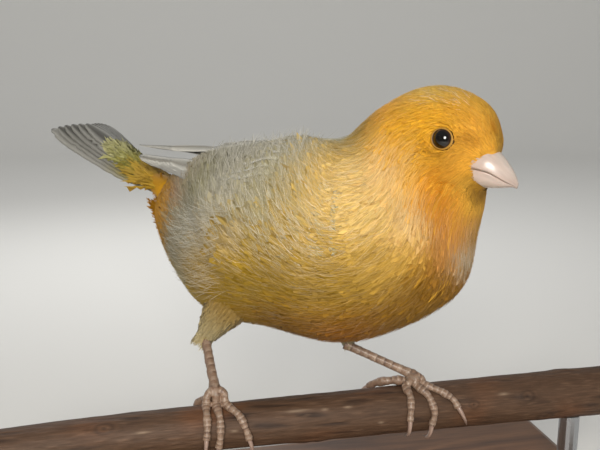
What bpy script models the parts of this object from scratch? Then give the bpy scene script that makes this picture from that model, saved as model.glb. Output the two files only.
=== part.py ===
# A life-size canary in still pose on a cut length of branch, held by a plain display stand.
# Lengths are millimetres, scaled to metres as each mesh is made. +Z is up and the branch runs along X.
import math

import bmesh
import bpy
import numpy as np
from mathutils import Euler, Matrix, Vector

MM = 0.001
GAP = 0.3

# Stand and perch
BASE_SIZE = (150.0, 84.0, 8.0)
BASE_CORNER = 2.0
ROD_RADIUS = 2.5
ROD_X = 62.0
ROD_SEGMENTS = 16
ROD_SEAT = 2.0
PERCH_HEIGHT = 36.0
PERCH_HALF_LENGTH = 76.0
PERCH_RADIUS = 5.5
PERCH_TAPER = 0.0085
PERCH_STRAIGHT = 34.0
PERCH_CROOK = (0.9, -0.7)
PERCH_STEPS = 20
PERCH_RESOLUTION = 5

# Poses of trunk and head: place of the origin, then yaw, pitch (nose down) and roll in degrees
TRUNK_PLACE = (-3.0, 8.5, 74.5)
TRUNK_TURN = (-42.0, 4.0, 0.0)
HEAD_PLACE = (21.8, -14.6, 101.4)
HEAD_TURN = (-48.0, 15.0, -8.0)

# Cross-sections from rump to breast, in the trunk's own frame:
# back x and z, belly x and z, half width, and how much narrower the top is than the bottom
TRUNK_SECTIONS = (
    (-42.1, 9.8, -44.0, 3.6, 4.0, 0.0),
    (-38.5, 12.7, -42.1, -3.1, 8.8, 0.0),
    (-28.5, 17.7, -34.6, -12.9, 13.5, -0.05),
    (-17.1, 21.6, -23.1, -20.5, 17.5, -0.08),
    (-4.0, 24.6, -5.9, -19.9, 19.5, -0.1),
    (5.0, 25.4, 11.5, -19.2, 19.5, -0.1),
    (9.0, 28.2, 25.8, -12.0, 18.5, -0.08),
    (13.0, 32.6, 35.9, -2.1, 16.0, -0.06),
)
# Cross-sections from nape to bill, in the head's own frame, whose origin lies between the eyes
HEAD_SECTIONS = (
    (-16.5, 3.2, 9.7, -17.0, 12.0, -0.1),
    (-12.0, 7.3, 9.6, -12.2, 9.7, -0.14),
    (-6.9, 9.6, 9.0, -9.6, 8.4, -0.14),
    (-1.2, 10.0, 8.6, -8.5, 7.8, -0.1),
    (4.2, 8.5, 9.0, -7.9, 6.7, -0.02),
    (7.3, 5.3, 9.1, -7.4, 5.2, 0.0),
    (8.9, 2.8, 9.1, -7.0, 4.2, 0.0),
    (9.3, 0.9, 9.2, -6.8, 3.5, 0.0),
)
RING_POINTS = 32
TORSO_END = 6.3
NECK_END = 8.3
RING_STEP = 0.35
HEAD_RING_STEP = 0.42
CUTTER_RINGS = 56

# Eye and lid, in the head's frame
EYE_RADIUS = 2.4
EYE_SIDE = 6.5
LID_RING = 2.45
LID_SIDE = 8.1
LID_THICKNESS = 0.42

# Bill: x along the head, culmen, cutting edge and gonys heights, and half width
BILL_SECTIONS = (
    (3.6, 1.6, -3.9, -8.0, 3.7),
    (5.6, 1.6, -4.0, -7.7, 3.9),
    (7.6, 1.3, -3.7, -7.3, 3.75),
    (9.4, 0.7, -3.6, -6.8, 3.35),
    (11.2, -0.3, -3.9, -6.2, 2.65),
    (12.9, -1.5, -4.3, -5.5, 1.75),
    (14.2, -2.7, -4.5, -4.95, 0.9),
)
BILL_TIP = (15.1, -3.9, -4.6, 0.25)
BILL_RING = 9
BILL_SEAT_RING = 24
NOSTRIL_PLACE = (9.2, 2.0, -0.55)
NOSTRIL_RADIUS = 0.35

# Folded wing, in the trunk's frame: x, then middle height and half axes of the ellipse that its inner
# face follows, and the angles from the top where its upper and lower edges lie
WING_FORM = (
    (18.0, 0.0, 20.4, 34.0, 70.0, 76.0),
    (14.0, -0.5, 20.6, 33.0, 52.0, 80.0),
    (7.0, -1.2, 20.8, 30.5, 31.0, 82.0),
    (-6.0, -2.4, 20.6, 27.6, 15.0, 80.0),
    (-19.0, -3.4, 18.8, 25.4, 11.0, 72.0),
    (-31.0, -0.4, 15.2, 20.0, 8.0, 52.0),
    (-42.0, 5.2, 9.4, 13.0, 7.0, 35.0),
    (-55.0, 10.6, 4.8, 6.9, 6.0, 28.0),
)
# The right wing (-1) is held a little lower: how far its hind end has slipped down from the back, in degrees
# at its tip, where that starts, and how much further forward its feathers then end
WING_SLIP = {-1: 21.0, 1: 0.0}
WING_SLIP_START = -8.0
WING_DRAWN_IN = {-1: 5.0, 1: 0.0}
WING_CORE_END = -17.0
WING_CORE_THICKNESS = 1.7
WING_CORE_EDGE = 0.4
WING_CORE_RINGS = 12
WING_CORE_POINTS = 8
WING_TILT = 0.26
# Feather rows of a wing: count, root x, tip x, share of the way down the wing at the root and at the tip,
# half width, thickness and lift, each from the uppermost feather to the lowest
WING_ROWS = {
    "primary": (5, (-2, 4), (-44, -55), (0.62, 0.86), (0.50, 0.84), (3.0, 2.3), 0.62, (0.55, 0.55), 7),
    "secondary": (6, (4, 4), (-26, -37), (0.22, 0.72), (0.30, 0.66), (4.0, 3.6), 0.66, (0.75, 0.65), 6),
    "tertial": (3, (2, 4), (-17, -28), (0.10, 0.24), (0.13, 0.36), (3.6, 3.8), 0.66, (1.9, 1.3), 5),
    "greater_covert": (8, (9, 11), (-7, -2), (0.12, 0.90), (0.12, 0.91), (2.9, 2.5), 0.6, (2.5, 2.3), 4),
    "median_covert": (7, (15, 17), (3, 6), (0.16, 0.84), (0.14, 0.88), (2.6, 2.3), 0.6, (2.9, 2.7), 4),
}

# Outline of every vane: share of its width at the root, how fast it widens, how round its tip is
VANE_ROOT = 0.45
VANE_WIDENING = 1.6
VANE_ROUNDING = 0.93

# Tail: its root and its turn (yaw, pitch, roll) in the trunk's frame, then sizes of its fan of feathers
TAIL_ROOT = (-42.9, 0.0, 6.9)
TAIL_TURN = (-16.5, 15.5, 6.0)
TAIL_LENGTH = 48.5
TAIL_NOTCH = 4.5
TAIL_PAIRS = 6
TAIL_SPREAD = 11.3
TAIL_VANE = 3.1
TAIL_STEP = 0.62
TAIL_ARCH = 0.035
TAIL_STUMP = (3.6, 2.8, 9.0)
COVERT_PAIRS = 3
COVERT_LENGTH = 22.0

# Legs: hip inside the trunk, heel, and foot joint over the perch, in world millimetres
LEGS = {
    "right": {"hip": (-19.5, 12.0, 66.0), "heel": (-28.5, 13.2, 52.9), "foot": (-27.6, 0.0, 45.2),
              "thigh": (7.6, 5.2, 2.5)},
    "left": {"hip": (4.0, 12.0, 62.0), "heel": (5.5, 6.5, 50.4), "foot": (19.3, 0.0, 44.6),
             "thigh": (5.5, 3.8, 2.0)},
}
TARSUS_RADIUS = 1.15
TOE_RADIUS = 0.92
TOE_CLEAR = 0.12
TOE_SPACING = 1.3
TOE_NARROWING = 0.18
TOE_JOINTS = 0.08
TOE_NECK = (0.74, 0.85)
CLAW_LENGTH = 5.5
CLAW_POINTS = 7
CLAW_ARCH = 0.9
CLAW_ROOT = 0.72
CLAW_TIP = 0.12
# Where each toe leaves the foot joint, in world millimetres from it
TOE_ROOTS = {
    "right": {
        "outer": (-1.75, -1.0, -0.8),
        "middle": (0.1, -1.2, -0.9),
        "inner": (1.95, -1.0, -0.8),
        "hind": (-0.5, 1.0, -2.2),
    },
    "left": {
        "inner": (-1.3, -1.9, -1.2),
        "middle": (0.6, -1.7, -1.3),
        "outer": (2.2, -0.7, -1.0),
        "hind": (-0.7, 1.3, -2.4),
    },
}
# Toes: distance along the perch and angle over its top toward the viewer, root to end
TOES = {
    "right": {
        "outer": ((-29.8, 14), (-29.9, 40), (-30.0, 66), (-30.3, 88)),
        "middle": ((-27.6, 14), (-27.1, 48), (-27.2, 80), (-27.6, 108)),
        "inner": ((-25.4, 16), (-22.9, 45), (-21.6, 72), (-20.8, 96)),
        "hind": ((-28.6, -22), (-30.6, -48), (-31.6, -74), (-32.0, -92)),
    },
    "left": {
        "inner": ((17.1, 16), (17.3, 40), (17.0, 64), (16.6, 90)),
        "middle": ((19.4, 14), (21.6, 42), (22.6, 76), (22.0, 104)),
        "outer": ((21.7, 15), (24.8, 36), (27.4, 54), (28.5, 72)),
        "hind": ((16.4, -16), (13.8, -26), (11.6, -40), (10.4, -56)),
    },
}

COLOURS = {
    "yellow_plumage": ((0.83, 0.62, 0.20), 0.9, 0.0),
    "pale_plumage": ((0.76, 0.74, 0.62), 0.9, 0.0),
    "flight_feather": ((0.80, 0.80, 0.74), 0.7, 0.0),
    "bill_horn": ((0.86, 0.72, 0.66), 0.35, 0.0),
    "eye": ((0.02, 0.012, 0.01), 0.05, 0.0),
    "leg_skin": ((0.62, 0.40, 0.34), 0.5, 0.0),
    "claw": ((0.66, 0.50, 0.44), 0.35, 0.0),
    "perch_bark": ((0.28, 0.19, 0.13), 0.75, 0.0),
    "stand_wood": ((0.42, 0.31, 0.22), 0.55, 0.0),
    "stand_steel": ((0.60, 0.60, 0.60), 0.35, 1.0),
}


def new_collection(name, hidden=False):
    collection = bpy.data.collections.new(name)
    bpy.context.scene.collection.children.link(collection)
    collection.hide_render = hidden
    return collection


def material(name):
    found = bpy.data.materials.get(name)
    if found:
        return found
    colour, roughness, metallic = COLOURS[name]
    made = bpy.data.materials.new(name)
    made.use_nodes = True
    shader = made.node_tree.nodes["Principled BSDF"]
    shader.inputs["Base Color"].default_value = (*colour, 1.0)
    shader.inputs["Roughness"].default_value = roughness
    shader.inputs["Metallic"].default_value = metallic
    return made


def add_mesh(name, mesh, collection, material_name):
    made = bpy.data.objects.new(name, mesh)
    collection.objects.link(made)
    mesh.materials.clear()
    mesh.materials.append(material(material_name))
    mesh.shade_smooth()
    mesh.set_sharp_from_angle(angle=math.radians(40))
    return made


def finish_bmesh(bm, name, collection, material_name):
    mesh = bpy.data.meshes.new(name)
    bmesh.ops.recalc_face_normals(bm, faces=bm.faces)
    bm.to_mesh(mesh)
    bm.free()
    return add_mesh(name, mesh, collection, material_name)


def loft(name, rings, collection, material_name):
    """Closed skin over rings of equal count, in millimetres, with a flat cap on each end."""
    bm = bmesh.new()
    rows = [[bm.verts.new(Vector(point) * MM) for point in ring] for ring in rings]
    count = len(rows[0])
    for first, second in zip(rows, rows[1:]):
        for i in range(count):
            j = (i + 1) % count
            bm.faces.new((first[i], first[j], second[j], second[i]))
    bm.faces.new(rows[0])
    bm.faces.new(list(reversed(rows[-1])))
    return finish_bmesh(bm, name, collection, material_name)


def tube(name, points, radii, collection, material_name, resolution=2):
    """A bent round tube whose radius changes along it, made as a curve and kept as a mesh."""
    curve = bpy.data.curves.new(name, "CURVE")
    curve.dimensions = "3D"
    curve.bevel_depth = MM
    curve.bevel_resolution = resolution
    curve.use_fill_caps = True
    spline = curve.splines.new("POLY")
    spline.points.add(len(points) - 1)
    for slot, point, radius in zip(spline.points, points, radii):
        slot.co = (*(Vector(point) * MM), 1.0)
        slot.radius = radius
    guide = bpy.data.objects.new(name + "_guide", curve)
    collection.objects.link(guide)
    bpy.context.view_layer.update()
    evaluated = guide.evaluated_get(bpy.context.evaluated_depsgraph_get())
    mesh = bpy.data.meshes.new_from_object(evaluated)
    mesh.name = name
    matrix = guide.matrix_world.copy()
    bpy.data.objects.remove(guide)
    bm = bmesh.new()
    bm.from_mesh(mesh)
    bmesh.ops.remove_doubles(bm, verts=bm.verts, dist=0.00001)
    bmesh.ops.recalc_face_normals(bm, faces=bm.faces)
    bm.to_mesh(mesh)
    bm.free()
    made = add_mesh(name, mesh, collection, material_name)
    made.matrix_world = matrix
    return made


def keep_largest(target):
    """Leaves only the largest closed surface of a mesh."""
    bm = bmesh.new()
    bm.from_mesh(target.data)
    left = set(bm.verts)
    shells = []
    while left:
        shell = {left.pop()}
        edge_of_shell = list(shell)
        while edge_of_shell:
            vert = edge_of_shell.pop()
            near = {edge.other_vert(vert) for edge in vert.link_edges} - shell
            shell |= near
            edge_of_shell += near
        left -= shell
        shells.append(shell)
    largest = max(shells, key=len)
    spare = [vert for shell in shells if shell is not largest for vert in shell]
    bmesh.ops.delete(bm, geom=spare, context="VERTS")
    bm.to_mesh(target.data)
    bm.free()


def apply_boolean(target, operation, others, solver="EXACT"):
    """Joins or cuts the target with a list of closed mesh objects, which are then removed."""
    group = bpy.data.collections.new(target.name + "_pieces")
    for other in others:
        group.objects.link(other)
    change = target.modifiers.new("join", "BOOLEAN")
    change.operation = operation
    change.operand_type = "COLLECTION"
    change.collection = group
    change.solver = solver
    bpy.context.view_layer.update()
    evaluated = target.evaluated_get(bpy.context.evaluated_depsgraph_get())
    mesh = bpy.data.meshes.new_from_object(evaluated)
    target.modifiers.clear()
    old = target.data
    target.data = mesh
    mesh.name = target.name
    bpy.data.meshes.remove(old)
    for other in others:
        bpy.data.objects.remove(other)
    bpy.data.collections.remove(group)
    keep_largest(target)


def turn_matrix(turn):
    yaw, pitch, roll = (math.radians(angle) for angle in turn)
    return Euler((roll, pitch, yaw), "XYZ").to_matrix()


TRUNK_MATRIX = np.array(turn_matrix(TRUNK_TURN))
HEAD_MATRIX = np.array(turn_matrix(HEAD_TURN))


def from_trunk(points):
    return np.asarray(points, float) @ TRUNK_MATRIX.T + TRUNK_PLACE


def from_head(points):
    return np.asarray(points, float) @ HEAD_MATRIX.T + HEAD_PLACE


def body_sections():
    """World back points, belly points, side vectors, half widths and taper of every cross-section."""
    rows = []
    for sections, place, matrix in (
        (TRUNK_SECTIONS, TRUNK_PLACE, TRUNK_MATRIX),
        (HEAD_SECTIONS, HEAD_PLACE, HEAD_MATRIX),
    ):
        for back_x, back_z, belly_x, belly_z, width, taper in sections:
            back = matrix @ (back_x, 0.0, back_z) + place
            belly = matrix @ (belly_x, 0.0, belly_z) + place
            rows.append(np.concatenate([back, belly, matrix[:, 1], (width, taper)]))
    return np.array(rows)


BODY_SECTIONS = body_sections()
BODY_END = len(BODY_SECTIONS) - 1.0


def smooth_between(rows, at):
    """Catmull-Rom curve through the rows, read at the given places counted in rows."""
    ends = np.concatenate([[2 * rows[0] - rows[1]], rows, [2 * rows[-1] - rows[-2]]])
    first = np.clip(np.floor(at).astype(int), 0, len(rows) - 2)
    part = (at - first)[:, None]
    a, b, c, d = (ends[first + step] for step in range(4))
    curve = 2 * b + (c - a) * part + (2 * a - 5 * b + 4 * c - d) * part**2
    return 0.5 * (curve + (3 * b - a - 3 * c + d) * part**3)


def body_rings(at, outset=0.0, points=RING_POINTS):
    """Rings of the body at the places in at: an ellipse from back to belly, narrower at the top."""
    rows = smooth_between(BODY_SECTIONS, np.asarray(at, float))
    back, belly, side = rows[:, 0:3], rows[:, 3:6], rows[:, 6:9]
    width, taper = rows[:, 9:10], rows[:, 10:11]
    half = (back - belly) / 2
    height = np.linalg.norm(half, axis=1, keepdims=True)
    up = half / height
    side = side - (side * up).sum(axis=1, keepdims=True) * up
    side /= np.linalg.norm(side, axis=1, keepdims=True)
    angle = np.linspace(0, 2 * np.pi, points, endpoint=False)
    cos, sin = np.cos(angle)[None, :, None], np.sin(angle)[None, :, None]
    across = (width + outset)[:, None] * (1 + taper[:, None] * cos) * side[:, None]
    return ((back + belly) / 2)[:, None] + cos * ((height + outset) * up)[:, None] + sin * across


def parted(ring, ahead):
    """The ring moved one gap along its own normal, toward the point ahead."""
    normal = np.cross(ring[RING_POINTS // 4] - ring[0], ring[RING_POINTS // 2] - ring[0])
    normal /= np.linalg.norm(normal)
    if normal @ (ahead - ring.mean(axis=0)) < 0:
        normal = -normal
    return ring + GAP * normal


def body_node(name, start, end, step, collection, material_name):
    """One length of the body; a length that follows another starts one gap ahead of it."""
    count = int(round((end - start) / step)) + 1
    rings = body_rings(np.linspace(start, end, count))
    if start > 0:
        rings[0] = parted(rings[0], rings[1].mean(axis=0))
    return loft(name, rings, collection, material_name)


def body_cutter(collection):
    """The whole body, one gap larger, to cut what lies against it."""
    rings = body_rings(np.linspace(0, BODY_END, CUTTER_RINGS), outset=GAP)
    lead = rings[0] - rings[1].mean(axis=0)
    rings[0] = rings[0] + GAP * lead / np.linalg.norm(lead, axis=1).mean()
    return loft("body_cutter", rings, collection, "yellow_plumage")


def copy_of(source, name, collection):
    made = bpy.data.objects.new(name, source.data.copy())
    made.matrix_world = source.matrix_world.copy()
    collection.objects.link(made)
    return made


def sphere(name, place, radius, collection, material_name, segments=20):
    bm = bmesh.new()
    bmesh.ops.create_uvsphere(bm, u_segments=segments, v_segments=segments // 2 + 2, radius=radius * MM)
    made = finish_bmesh(bm, name, collection, material_name)
    made.matrix_world = Matrix.Translation(Vector(place) * MM) @ Matrix(HEAD_MATRIX).to_4x4()
    return made


def bill_ring(x, top, bottom, width, upper):
    """Section of one mandible: flat along the cutting edge, round over the other side."""
    angle = np.linspace(0, np.pi, BILL_RING)
    across = width * np.cos(angle)
    rise = np.sin(angle) ** 0.85
    flat, far = (bottom, top) if upper else (top, bottom)
    height = flat + (far - flat) * rise
    return from_head(np.stack([np.full(BILL_RING, x), across, height], axis=1))


def bill(collection, hidden):
    """Both mandibles, parted along the cutting edge, and one joined cutter for the head."""
    upper, lower = [], []
    for x, culmen, edge, gonys, width in BILL_SECTIONS:
        upper.append(bill_ring(x, culmen, edge + GAP / 2, width, True))
        lower.append(bill_ring(x, edge - GAP / 2, gonys, width * 0.93, False))
    tip_x, tip_top, tip_bottom, tip_width = BILL_TIP
    upper.append(bill_ring(tip_x, tip_top, tip_bottom, tip_width, True))
    top = loft("bill_upper", upper, collection, "bill_horn")
    bottom = loft("bill_lower", lower, collection, "bill_horn")
    pits = []
    for side in (-1, 1):
        x, y, z = NOSTRIL_PLACE
        place = from_head((x, side * y, z))
        pits.append(sphere(f"nostril_{side}", place, NOSTRIL_RADIUS, hidden, "bill_horn", 8))
    apply_boolean(top, "DIFFERENCE", pits)
    swollen = []
    for x, culmen, _, gonys, width in BILL_SECTIONS:
        angle = np.linspace(0, 2 * np.pi, BILL_SEAT_RING, endpoint=False)
        middle, half = (culmen + gonys) / 2, (culmen - gonys) / 2 + GAP
        across = (width + GAP + 0.2) * np.cos(angle)
        ring = np.stack([np.full(BILL_SEAT_RING, x), across, middle + half * np.sin(angle)], axis=1)
        swollen.append(from_head(ring))
    swollen.insert(0, swollen[0] + (GAP + 0.1) * -HEAD_MATRIX[:, 0])
    return loft("bill_cutter", swollen, hidden, "bill_horn")


def head(collection, hidden):
    """Head with a lid ring round each eye, sockets for the eyes and a seat for the bill."""
    node = body_node("head", NECK_END, BODY_END, HEAD_RING_STEP, collection, "yellow_plumage")
    lids, sockets = [], []
    for side, name in ((-1, "right"), (1, "left")):
        place = from_head((0, side * EYE_SIDE, 0))
        sphere("eye_" + name, place, EYE_RADIUS, collection, "eye", 18)
        sockets.append(sphere("socket_" + name, place, EYE_RADIUS + GAP, hidden, "eye", 20))
        bpy.ops.mesh.primitive_torus_add(
            major_radius=LID_RING * MM, minor_radius=LID_THICKNESS * MM, major_segments=20, minor_segments=6
        )
        lid = bpy.context.active_object
        lid.name = "lid_" + name
        turn = Matrix(HEAD_MATRIX).to_4x4() @ Matrix.Rotation(math.pi / 2, 4, "X")
        lid.matrix_world = Matrix.Translation(Vector(from_head((0, side * LID_SIDE, 0))) * MM) @ turn
        lids.append(lid)
    apply_boolean(node, "UNION", lids)
    apply_boolean(node, "DIFFERENCE", sockets + [bill(collection, hidden)])


def profile(count):
    """Share of a vane's full width at each station from its narrow root to its rounded tip."""
    run = np.linspace(0, 1, count)
    widening = np.minimum(VANE_ROOT + VANE_WIDENING * run, 1.0)
    return widening * np.sqrt(1.0 - VANE_ROUNDING * np.clip(run * 3 - 2, 0, 1) ** 2)


def vane(name, sections, collection):
    """Thin closed vane over stations of four points: one edge, top ridge, other edge, under ridge."""
    bm = bmesh.new()
    rows = [[bm.verts.new(Vector(point) * MM) for point in section] for section in sections]
    for near, far in zip(rows, rows[1:]):
        for side, ridge in ((0, 1), (2, 1), (0, 3), (2, 3)):
            bm.faces.new((near[side], near[ridge], far[ridge]))
            bm.faces.new((near[side], far[ridge], far[side]))
    for end in (rows[0], rows[-1]):
        bm.faces.new((end[0], end[1], end[3]))
        bm.faces.new((end[1], end[2], end[3]))
    return finish_bmesh(bm, name, collection, "flight_feather")


def spread(pair, share):
    return pair[0] + (pair[1] - pair[0]) * share


def wing_place(side, x, share, lift):
    """World points on the wing's form: place along the trunk, share of the way down, height over it."""
    rows = np.array(WING_FORM)[::-1]
    middle, wide, high, top, bottom = (np.interp(x, rows[:, 0], rows[:, i]) for i in range(1, 6))
    hind = np.clip((WING_SLIP_START - x) / (WING_SLIP_START - WING_FORM[-1][0]), 0, 1) ** 0.8
    angle = np.radians(top + (bottom - top) * np.clip(share, 0, 1) + WING_SLIP[side] * hind)
    across = side * (wide + lift) * np.sin(angle)
    return from_trunk(np.stack([x, across, middle + (high + lift) * np.cos(angle)], axis=-1))


def wing_depth(side, x):
    """Length of the wing's form from its upper to its lower edge, at each x."""
    share = np.linspace(0, 1, 9)[:, None]
    rows = wing_place(side, np.tile(x, (9, 1)), share * np.ones_like(x), np.zeros((9, len(x))))
    return np.linalg.norm(np.diff(rows, axis=0), axis=2).sum(axis=0)


def wing_feather(name, side, row, index, collection):
    """One feather of a row, tilted so that its lower edge lies over the next one down."""
    count, root, tip, root_share, tip_share, width, thick, lift, stations = row
    part = index / (count - 1)
    run = np.linspace(0, 1, stations)
    x = spread((spread(root, part), spread(tip, part)), run) + WING_DRAWN_IN[side] * run**2
    middle = spread((spread(root_share, part), spread(tip_share, part)), run)
    half = spread(width, part) * profile(stations)
    reach = half / wing_depth(side, x)
    rise = spread(lift, part) * np.minimum(0.35 + 2.2 * run, 1.0)
    slope = WING_TILT * half * np.minimum(0.3 + 2 * run, 1.0)
    depth = thick / 2 * (1 - 0.45 * run)
    edges = [
        wing_place(side, x, middle - reach, rise - slope),
        wing_place(side, x, middle, rise + depth),
        wing_place(side, x, middle + reach, rise + slope),
        wing_place(side, x, middle, rise - depth),
    ]
    return vane(name, np.stack(edges, axis=1), collection)


def wing_core(name, side, collection):
    """The wing's arm under its feathers, a plate over the flank that thins toward every edge."""
    share = np.linspace(0, 1, WING_CORE_POINTS)
    bulge = WING_CORE_THICKNESS * np.sin(np.linspace(0.1, 0.9, WING_CORE_POINTS) * np.pi)
    rings = []
    for x in np.linspace(WING_FORM[0][0], WING_CORE_END, WING_CORE_RINGS):
        run = (WING_FORM[0][0] - x) / (WING_FORM[0][0] - WING_CORE_END)
        thick = WING_CORE_EDGE + bulge * min(1.0, 0.3 + 3 * run, 3.2 * (1 - run) + 0.15)
        outer = wing_place(side, np.full(WING_CORE_POINTS, x), share, thick)
        inner = wing_place(side, np.full(WING_CORE_POINTS, x), share, 0 * share)
        rings.append(np.concatenate([outer, inner[::-1]]))
    return loft(name, rings, collection, "flight_feather")


def wing(name, side, collection, cutter, hidden):
    """Folded wing: its core, then primaries, secondaries, tertials and two rows of coverts over it."""
    node = wing_core(name, side, collection)
    feathers = []
    for kind, row in WING_ROWS.items():
        for index in range(row[0]):
            feathers.append(wing_feather(f"{name}_{kind}_{index}", side, row, index, hidden))
    apply_boolean(node, "UNION", feathers)
    apply_boolean(node, "DIFFERENCE", [copy_of(cutter, name + "_cutter", hidden)])


def tail_place(along_tail, across, height):
    """World points in the tail's frame: distance back from the rump, to the left, and up."""
    turn = np.array(turn_matrix(TAIL_TURN))
    arch = -TAIL_ARCH * across**2 / (1 + 0.02 * along_tail)
    local = np.stack([-along_tail, across, height + arch], axis=-1)
    return from_trunk(local @ turn.T + TAIL_ROOT)


def tail_vane(name, root, tip, width, thick, height, stations, collection):
    """One tail feather from (back, across) at its root to the same at its tip, at a height over the fan."""
    run = np.linspace(0, 1, stations)
    back = root[0] + (tip[0] - root[0]) * run
    across = root[1] + (tip[1] - root[1]) * run
    half = width * profile(stations)
    lift = spread(height, run)
    depth = thick / 2 * (1 - 0.4 * run)
    edges = [
        tail_place(back, across - half, lift),
        tail_place(back, across, lift + depth),
        tail_place(back, across + half, lift),
        tail_place(back, across, lift - depth),
    ]
    return vane(name, np.stack(edges, axis=1), collection)


def tail(collection, cutter, hidden):
    """Closed tail: six pairs of feathers, the middle pair on top, with coverts above and below the root."""
    plug = []
    for run in np.linspace(0, 1, 5):
        angle = np.linspace(0, 2 * np.pi, 16, endpoint=False)
        wide, high = TAIL_STUMP[0] * (1 - 0.3 * run**2), TAIL_STUMP[1] * (1 - 0.55 * run**2)
        back = np.full(16, GAP + 0.1 + TAIL_STUMP[2] * run)
        plug.append(tail_place(back, wide * np.cos(angle), 0.2 + high * np.sin(angle)))
    node = loft("tail", plug, collection, "flight_feather")
    vanes = []
    for pair in range(TAIL_PAIRS):
        outward = (pair + 0.5) / TAIL_PAIRS
        length = TAIL_LENGTH - TAIL_NOTCH * (1 - outward) ** 1.5 - 1.2 * (outward > 0.9)
        for side in (-1, 1):
            drop = (pair + (0.5 if side > 0 else 0.0)) * TAIL_STEP
            heights = (1.5 - drop, 0.9 - 0.62 * drop)
            root, tip = (3.0, side * 1.3 * outward), (length, side * (TAIL_SPREAD - 2.2) * outward)
            name = f"tail_feather_{pair}_{side}"
            vanes.append(tail_vane(name, root, tip, TAIL_VANE, 0.62, heights, 6, hidden))
    for pair in range(COVERT_PAIRS):
        for side in (-1, 1):
            share = (pair + 0.5) / COVERT_PAIRS
            root, tip = (2.0, side * 2.2 * share), (COVERT_LENGTH - 5 * share, side * 5.0 * share)
            high = (1.6 - 0.5 * share + 0.2 * side, 2.6 - 1.6 * share + 0.3 * side)
            vanes.append(tail_vane(f"upper_covert_{pair}_{side}", root, tip, 2.8, 0.6, high, 4, hidden))
            low = (-1.6 + 0.5 * share - 0.2 * side, -4.3 + 1.0 * share - 0.3 * side)
            vanes.append(tail_vane(f"under_covert_{pair}_{side}", root, tip, 2.9, 0.6, low, 4, hidden))
    apply_boolean(node, "UNION", vanes)
    apply_boolean(node, "DIFFERENCE", [copy_of(cutter, "tail_cutter", hidden)])


def perch_radius(x):
    return PERCH_RADIUS + PERCH_TAPER * x


def perch(collection, outset=0.0, name="perch"):
    """A cut length of smooth branch, thicker toward +X, straight under the feet and a little crooked past them."""
    xs = np.linspace(-PERCH_HALF_LENGTH, PERCH_HALF_LENGTH, PERCH_STEPS)
    past = np.clip((np.abs(xs) - PERCH_STRAIGHT) / (PERCH_HALF_LENGTH - PERCH_STRAIGHT), 0, 1) ** 2
    aside, down = PERCH_CROOK
    points = np.stack([xs, aside * past * np.sign(xs), PERCH_HEIGHT + down * past], axis=1)
    return tube(name, points, perch_radius(xs) + outset, collection, "perch_bark", PERCH_RESOLUTION)


def round_perch(x, angle, lift):
    """A point over the perch at a distance along it and an angle from its top toward the viewer."""
    radius = perch_radius(x) + lift
    turn = math.radians(angle)
    return np.array([x, -radius * math.sin(turn), PERCH_HEIGHT + radius * math.cos(turn)])


def along(points, spacing):
    """Points evenly spaced on the smooth curve through the given ones."""
    fine = smooth_between(np.array(points, float), np.linspace(0, len(points) - 1, 200))
    run = np.concatenate([[0], np.cumsum(np.linalg.norm(np.diff(fine, axis=0), axis=1))])
    places = np.linspace(0, run[-1], max(3, int(run[-1] / spacing) + 1))
    return np.stack([np.interp(places, run, fine[:, axis]) for axis in range(3)], axis=1)


def toe_and_claw(name, root, steps, collection):
    """A toe from the foot joint over the perch, its joints a little thicker, and the curved claw after it."""
    lift = TOE_RADIUS + GAP + TOE_CLEAR
    path = along([root] + [round_perch(x, angle, lift) for x, angle in steps], TOE_SPACING)
    share = np.linspace(0, 1, len(path))
    radii = TOE_RADIUS * (1 - TOE_NARROWING * share) * (1 + TOE_JOINTS * np.cos(share * 6 * np.pi))
    radii[:2] *= TOE_NECK
    tube("toe_" + name, path, radii, collection, "leg_skin")
    x, angle = steps[-1]
    x_before, angle_before = steps[-2]
    sign = math.copysign(1, angle)
    reach = (CLAW_LENGTH + GAP) / (perch_radius(x) + lift)
    drift = (x - x_before) / max(abs(angle - angle_before), 1)
    claw = []
    for part in np.linspace(0, 1, CLAW_POINTS):
        turn = angle + sign * math.degrees(GAP / CLAW_POINTS + TOE_RADIUS * 0.05 + reach * part)
        rise = lift + CLAW_ARCH * math.sin(part * math.pi) - CLAW_ARCH / 2 * part
        claw.append(round_perch(x + drift * abs(turn - angle), turn, rise))
    claw_radii = TOE_RADIUS * CLAW_ROOT * (1 - np.linspace(0, 1, CLAW_POINTS) ** 1.3) + CLAW_TIP
    tube("claw_" + name, claw, claw_radii, collection, "claw")


def leg(side, collection, cutter, hidden):
    """Feathered thigh down to the heel, bare tarsus to the foot joint, four toes and claws."""
    sizes = LEGS[side]
    hip, heel, foot = (np.array(sizes[key]) for key in ("hip", "heel", "foot"))
    down = (heel - hip) / np.linalg.norm(heel - hip)
    end = heel - down * 0.6
    shares = np.linspace(0, 1, 8)
    points = [hip + (end - hip) * share for share in shares]
    radii = np.interp(shares, (0, 0.55, 1), sizes["thigh"])
    thigh = tube("thigh_" + side, points, radii, collection, "pale_plumage", 4)
    apply_boolean(thigh, "DIFFERENCE", [copy_of(cutter, f"thigh_{side}_cutter", hidden)])
    shin = (foot - heel) / np.linalg.norm(foot - heel)
    start = heel + shin * 0.35
    length = np.linalg.norm(foot - start)
    shares = np.linspace(0, 1, 9)
    points = [start + shin * length * share for share in shares]
    radii = TARSUS_RADIUS * (1 + 0.22 * (2 * shares - 1) ** 4)
    tarsus = tube("tarsus_" + side, points, radii, collection, "leg_skin", 3)
    heel_radius = sizes["thigh"][2] + GAP
    heel_cutter = tube("heel_cutter", [end, end - down * 2.0], (heel_radius, heel_radius), hidden, "leg_skin", 4)
    apply_boolean(tarsus, "DIFFERENCE", [heel_cutter])
    for toe, steps in TOES[side].items():
        toe_and_claw(f"{side}_{toe}", foot + TOE_ROOTS[side][toe], steps, collection)


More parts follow.
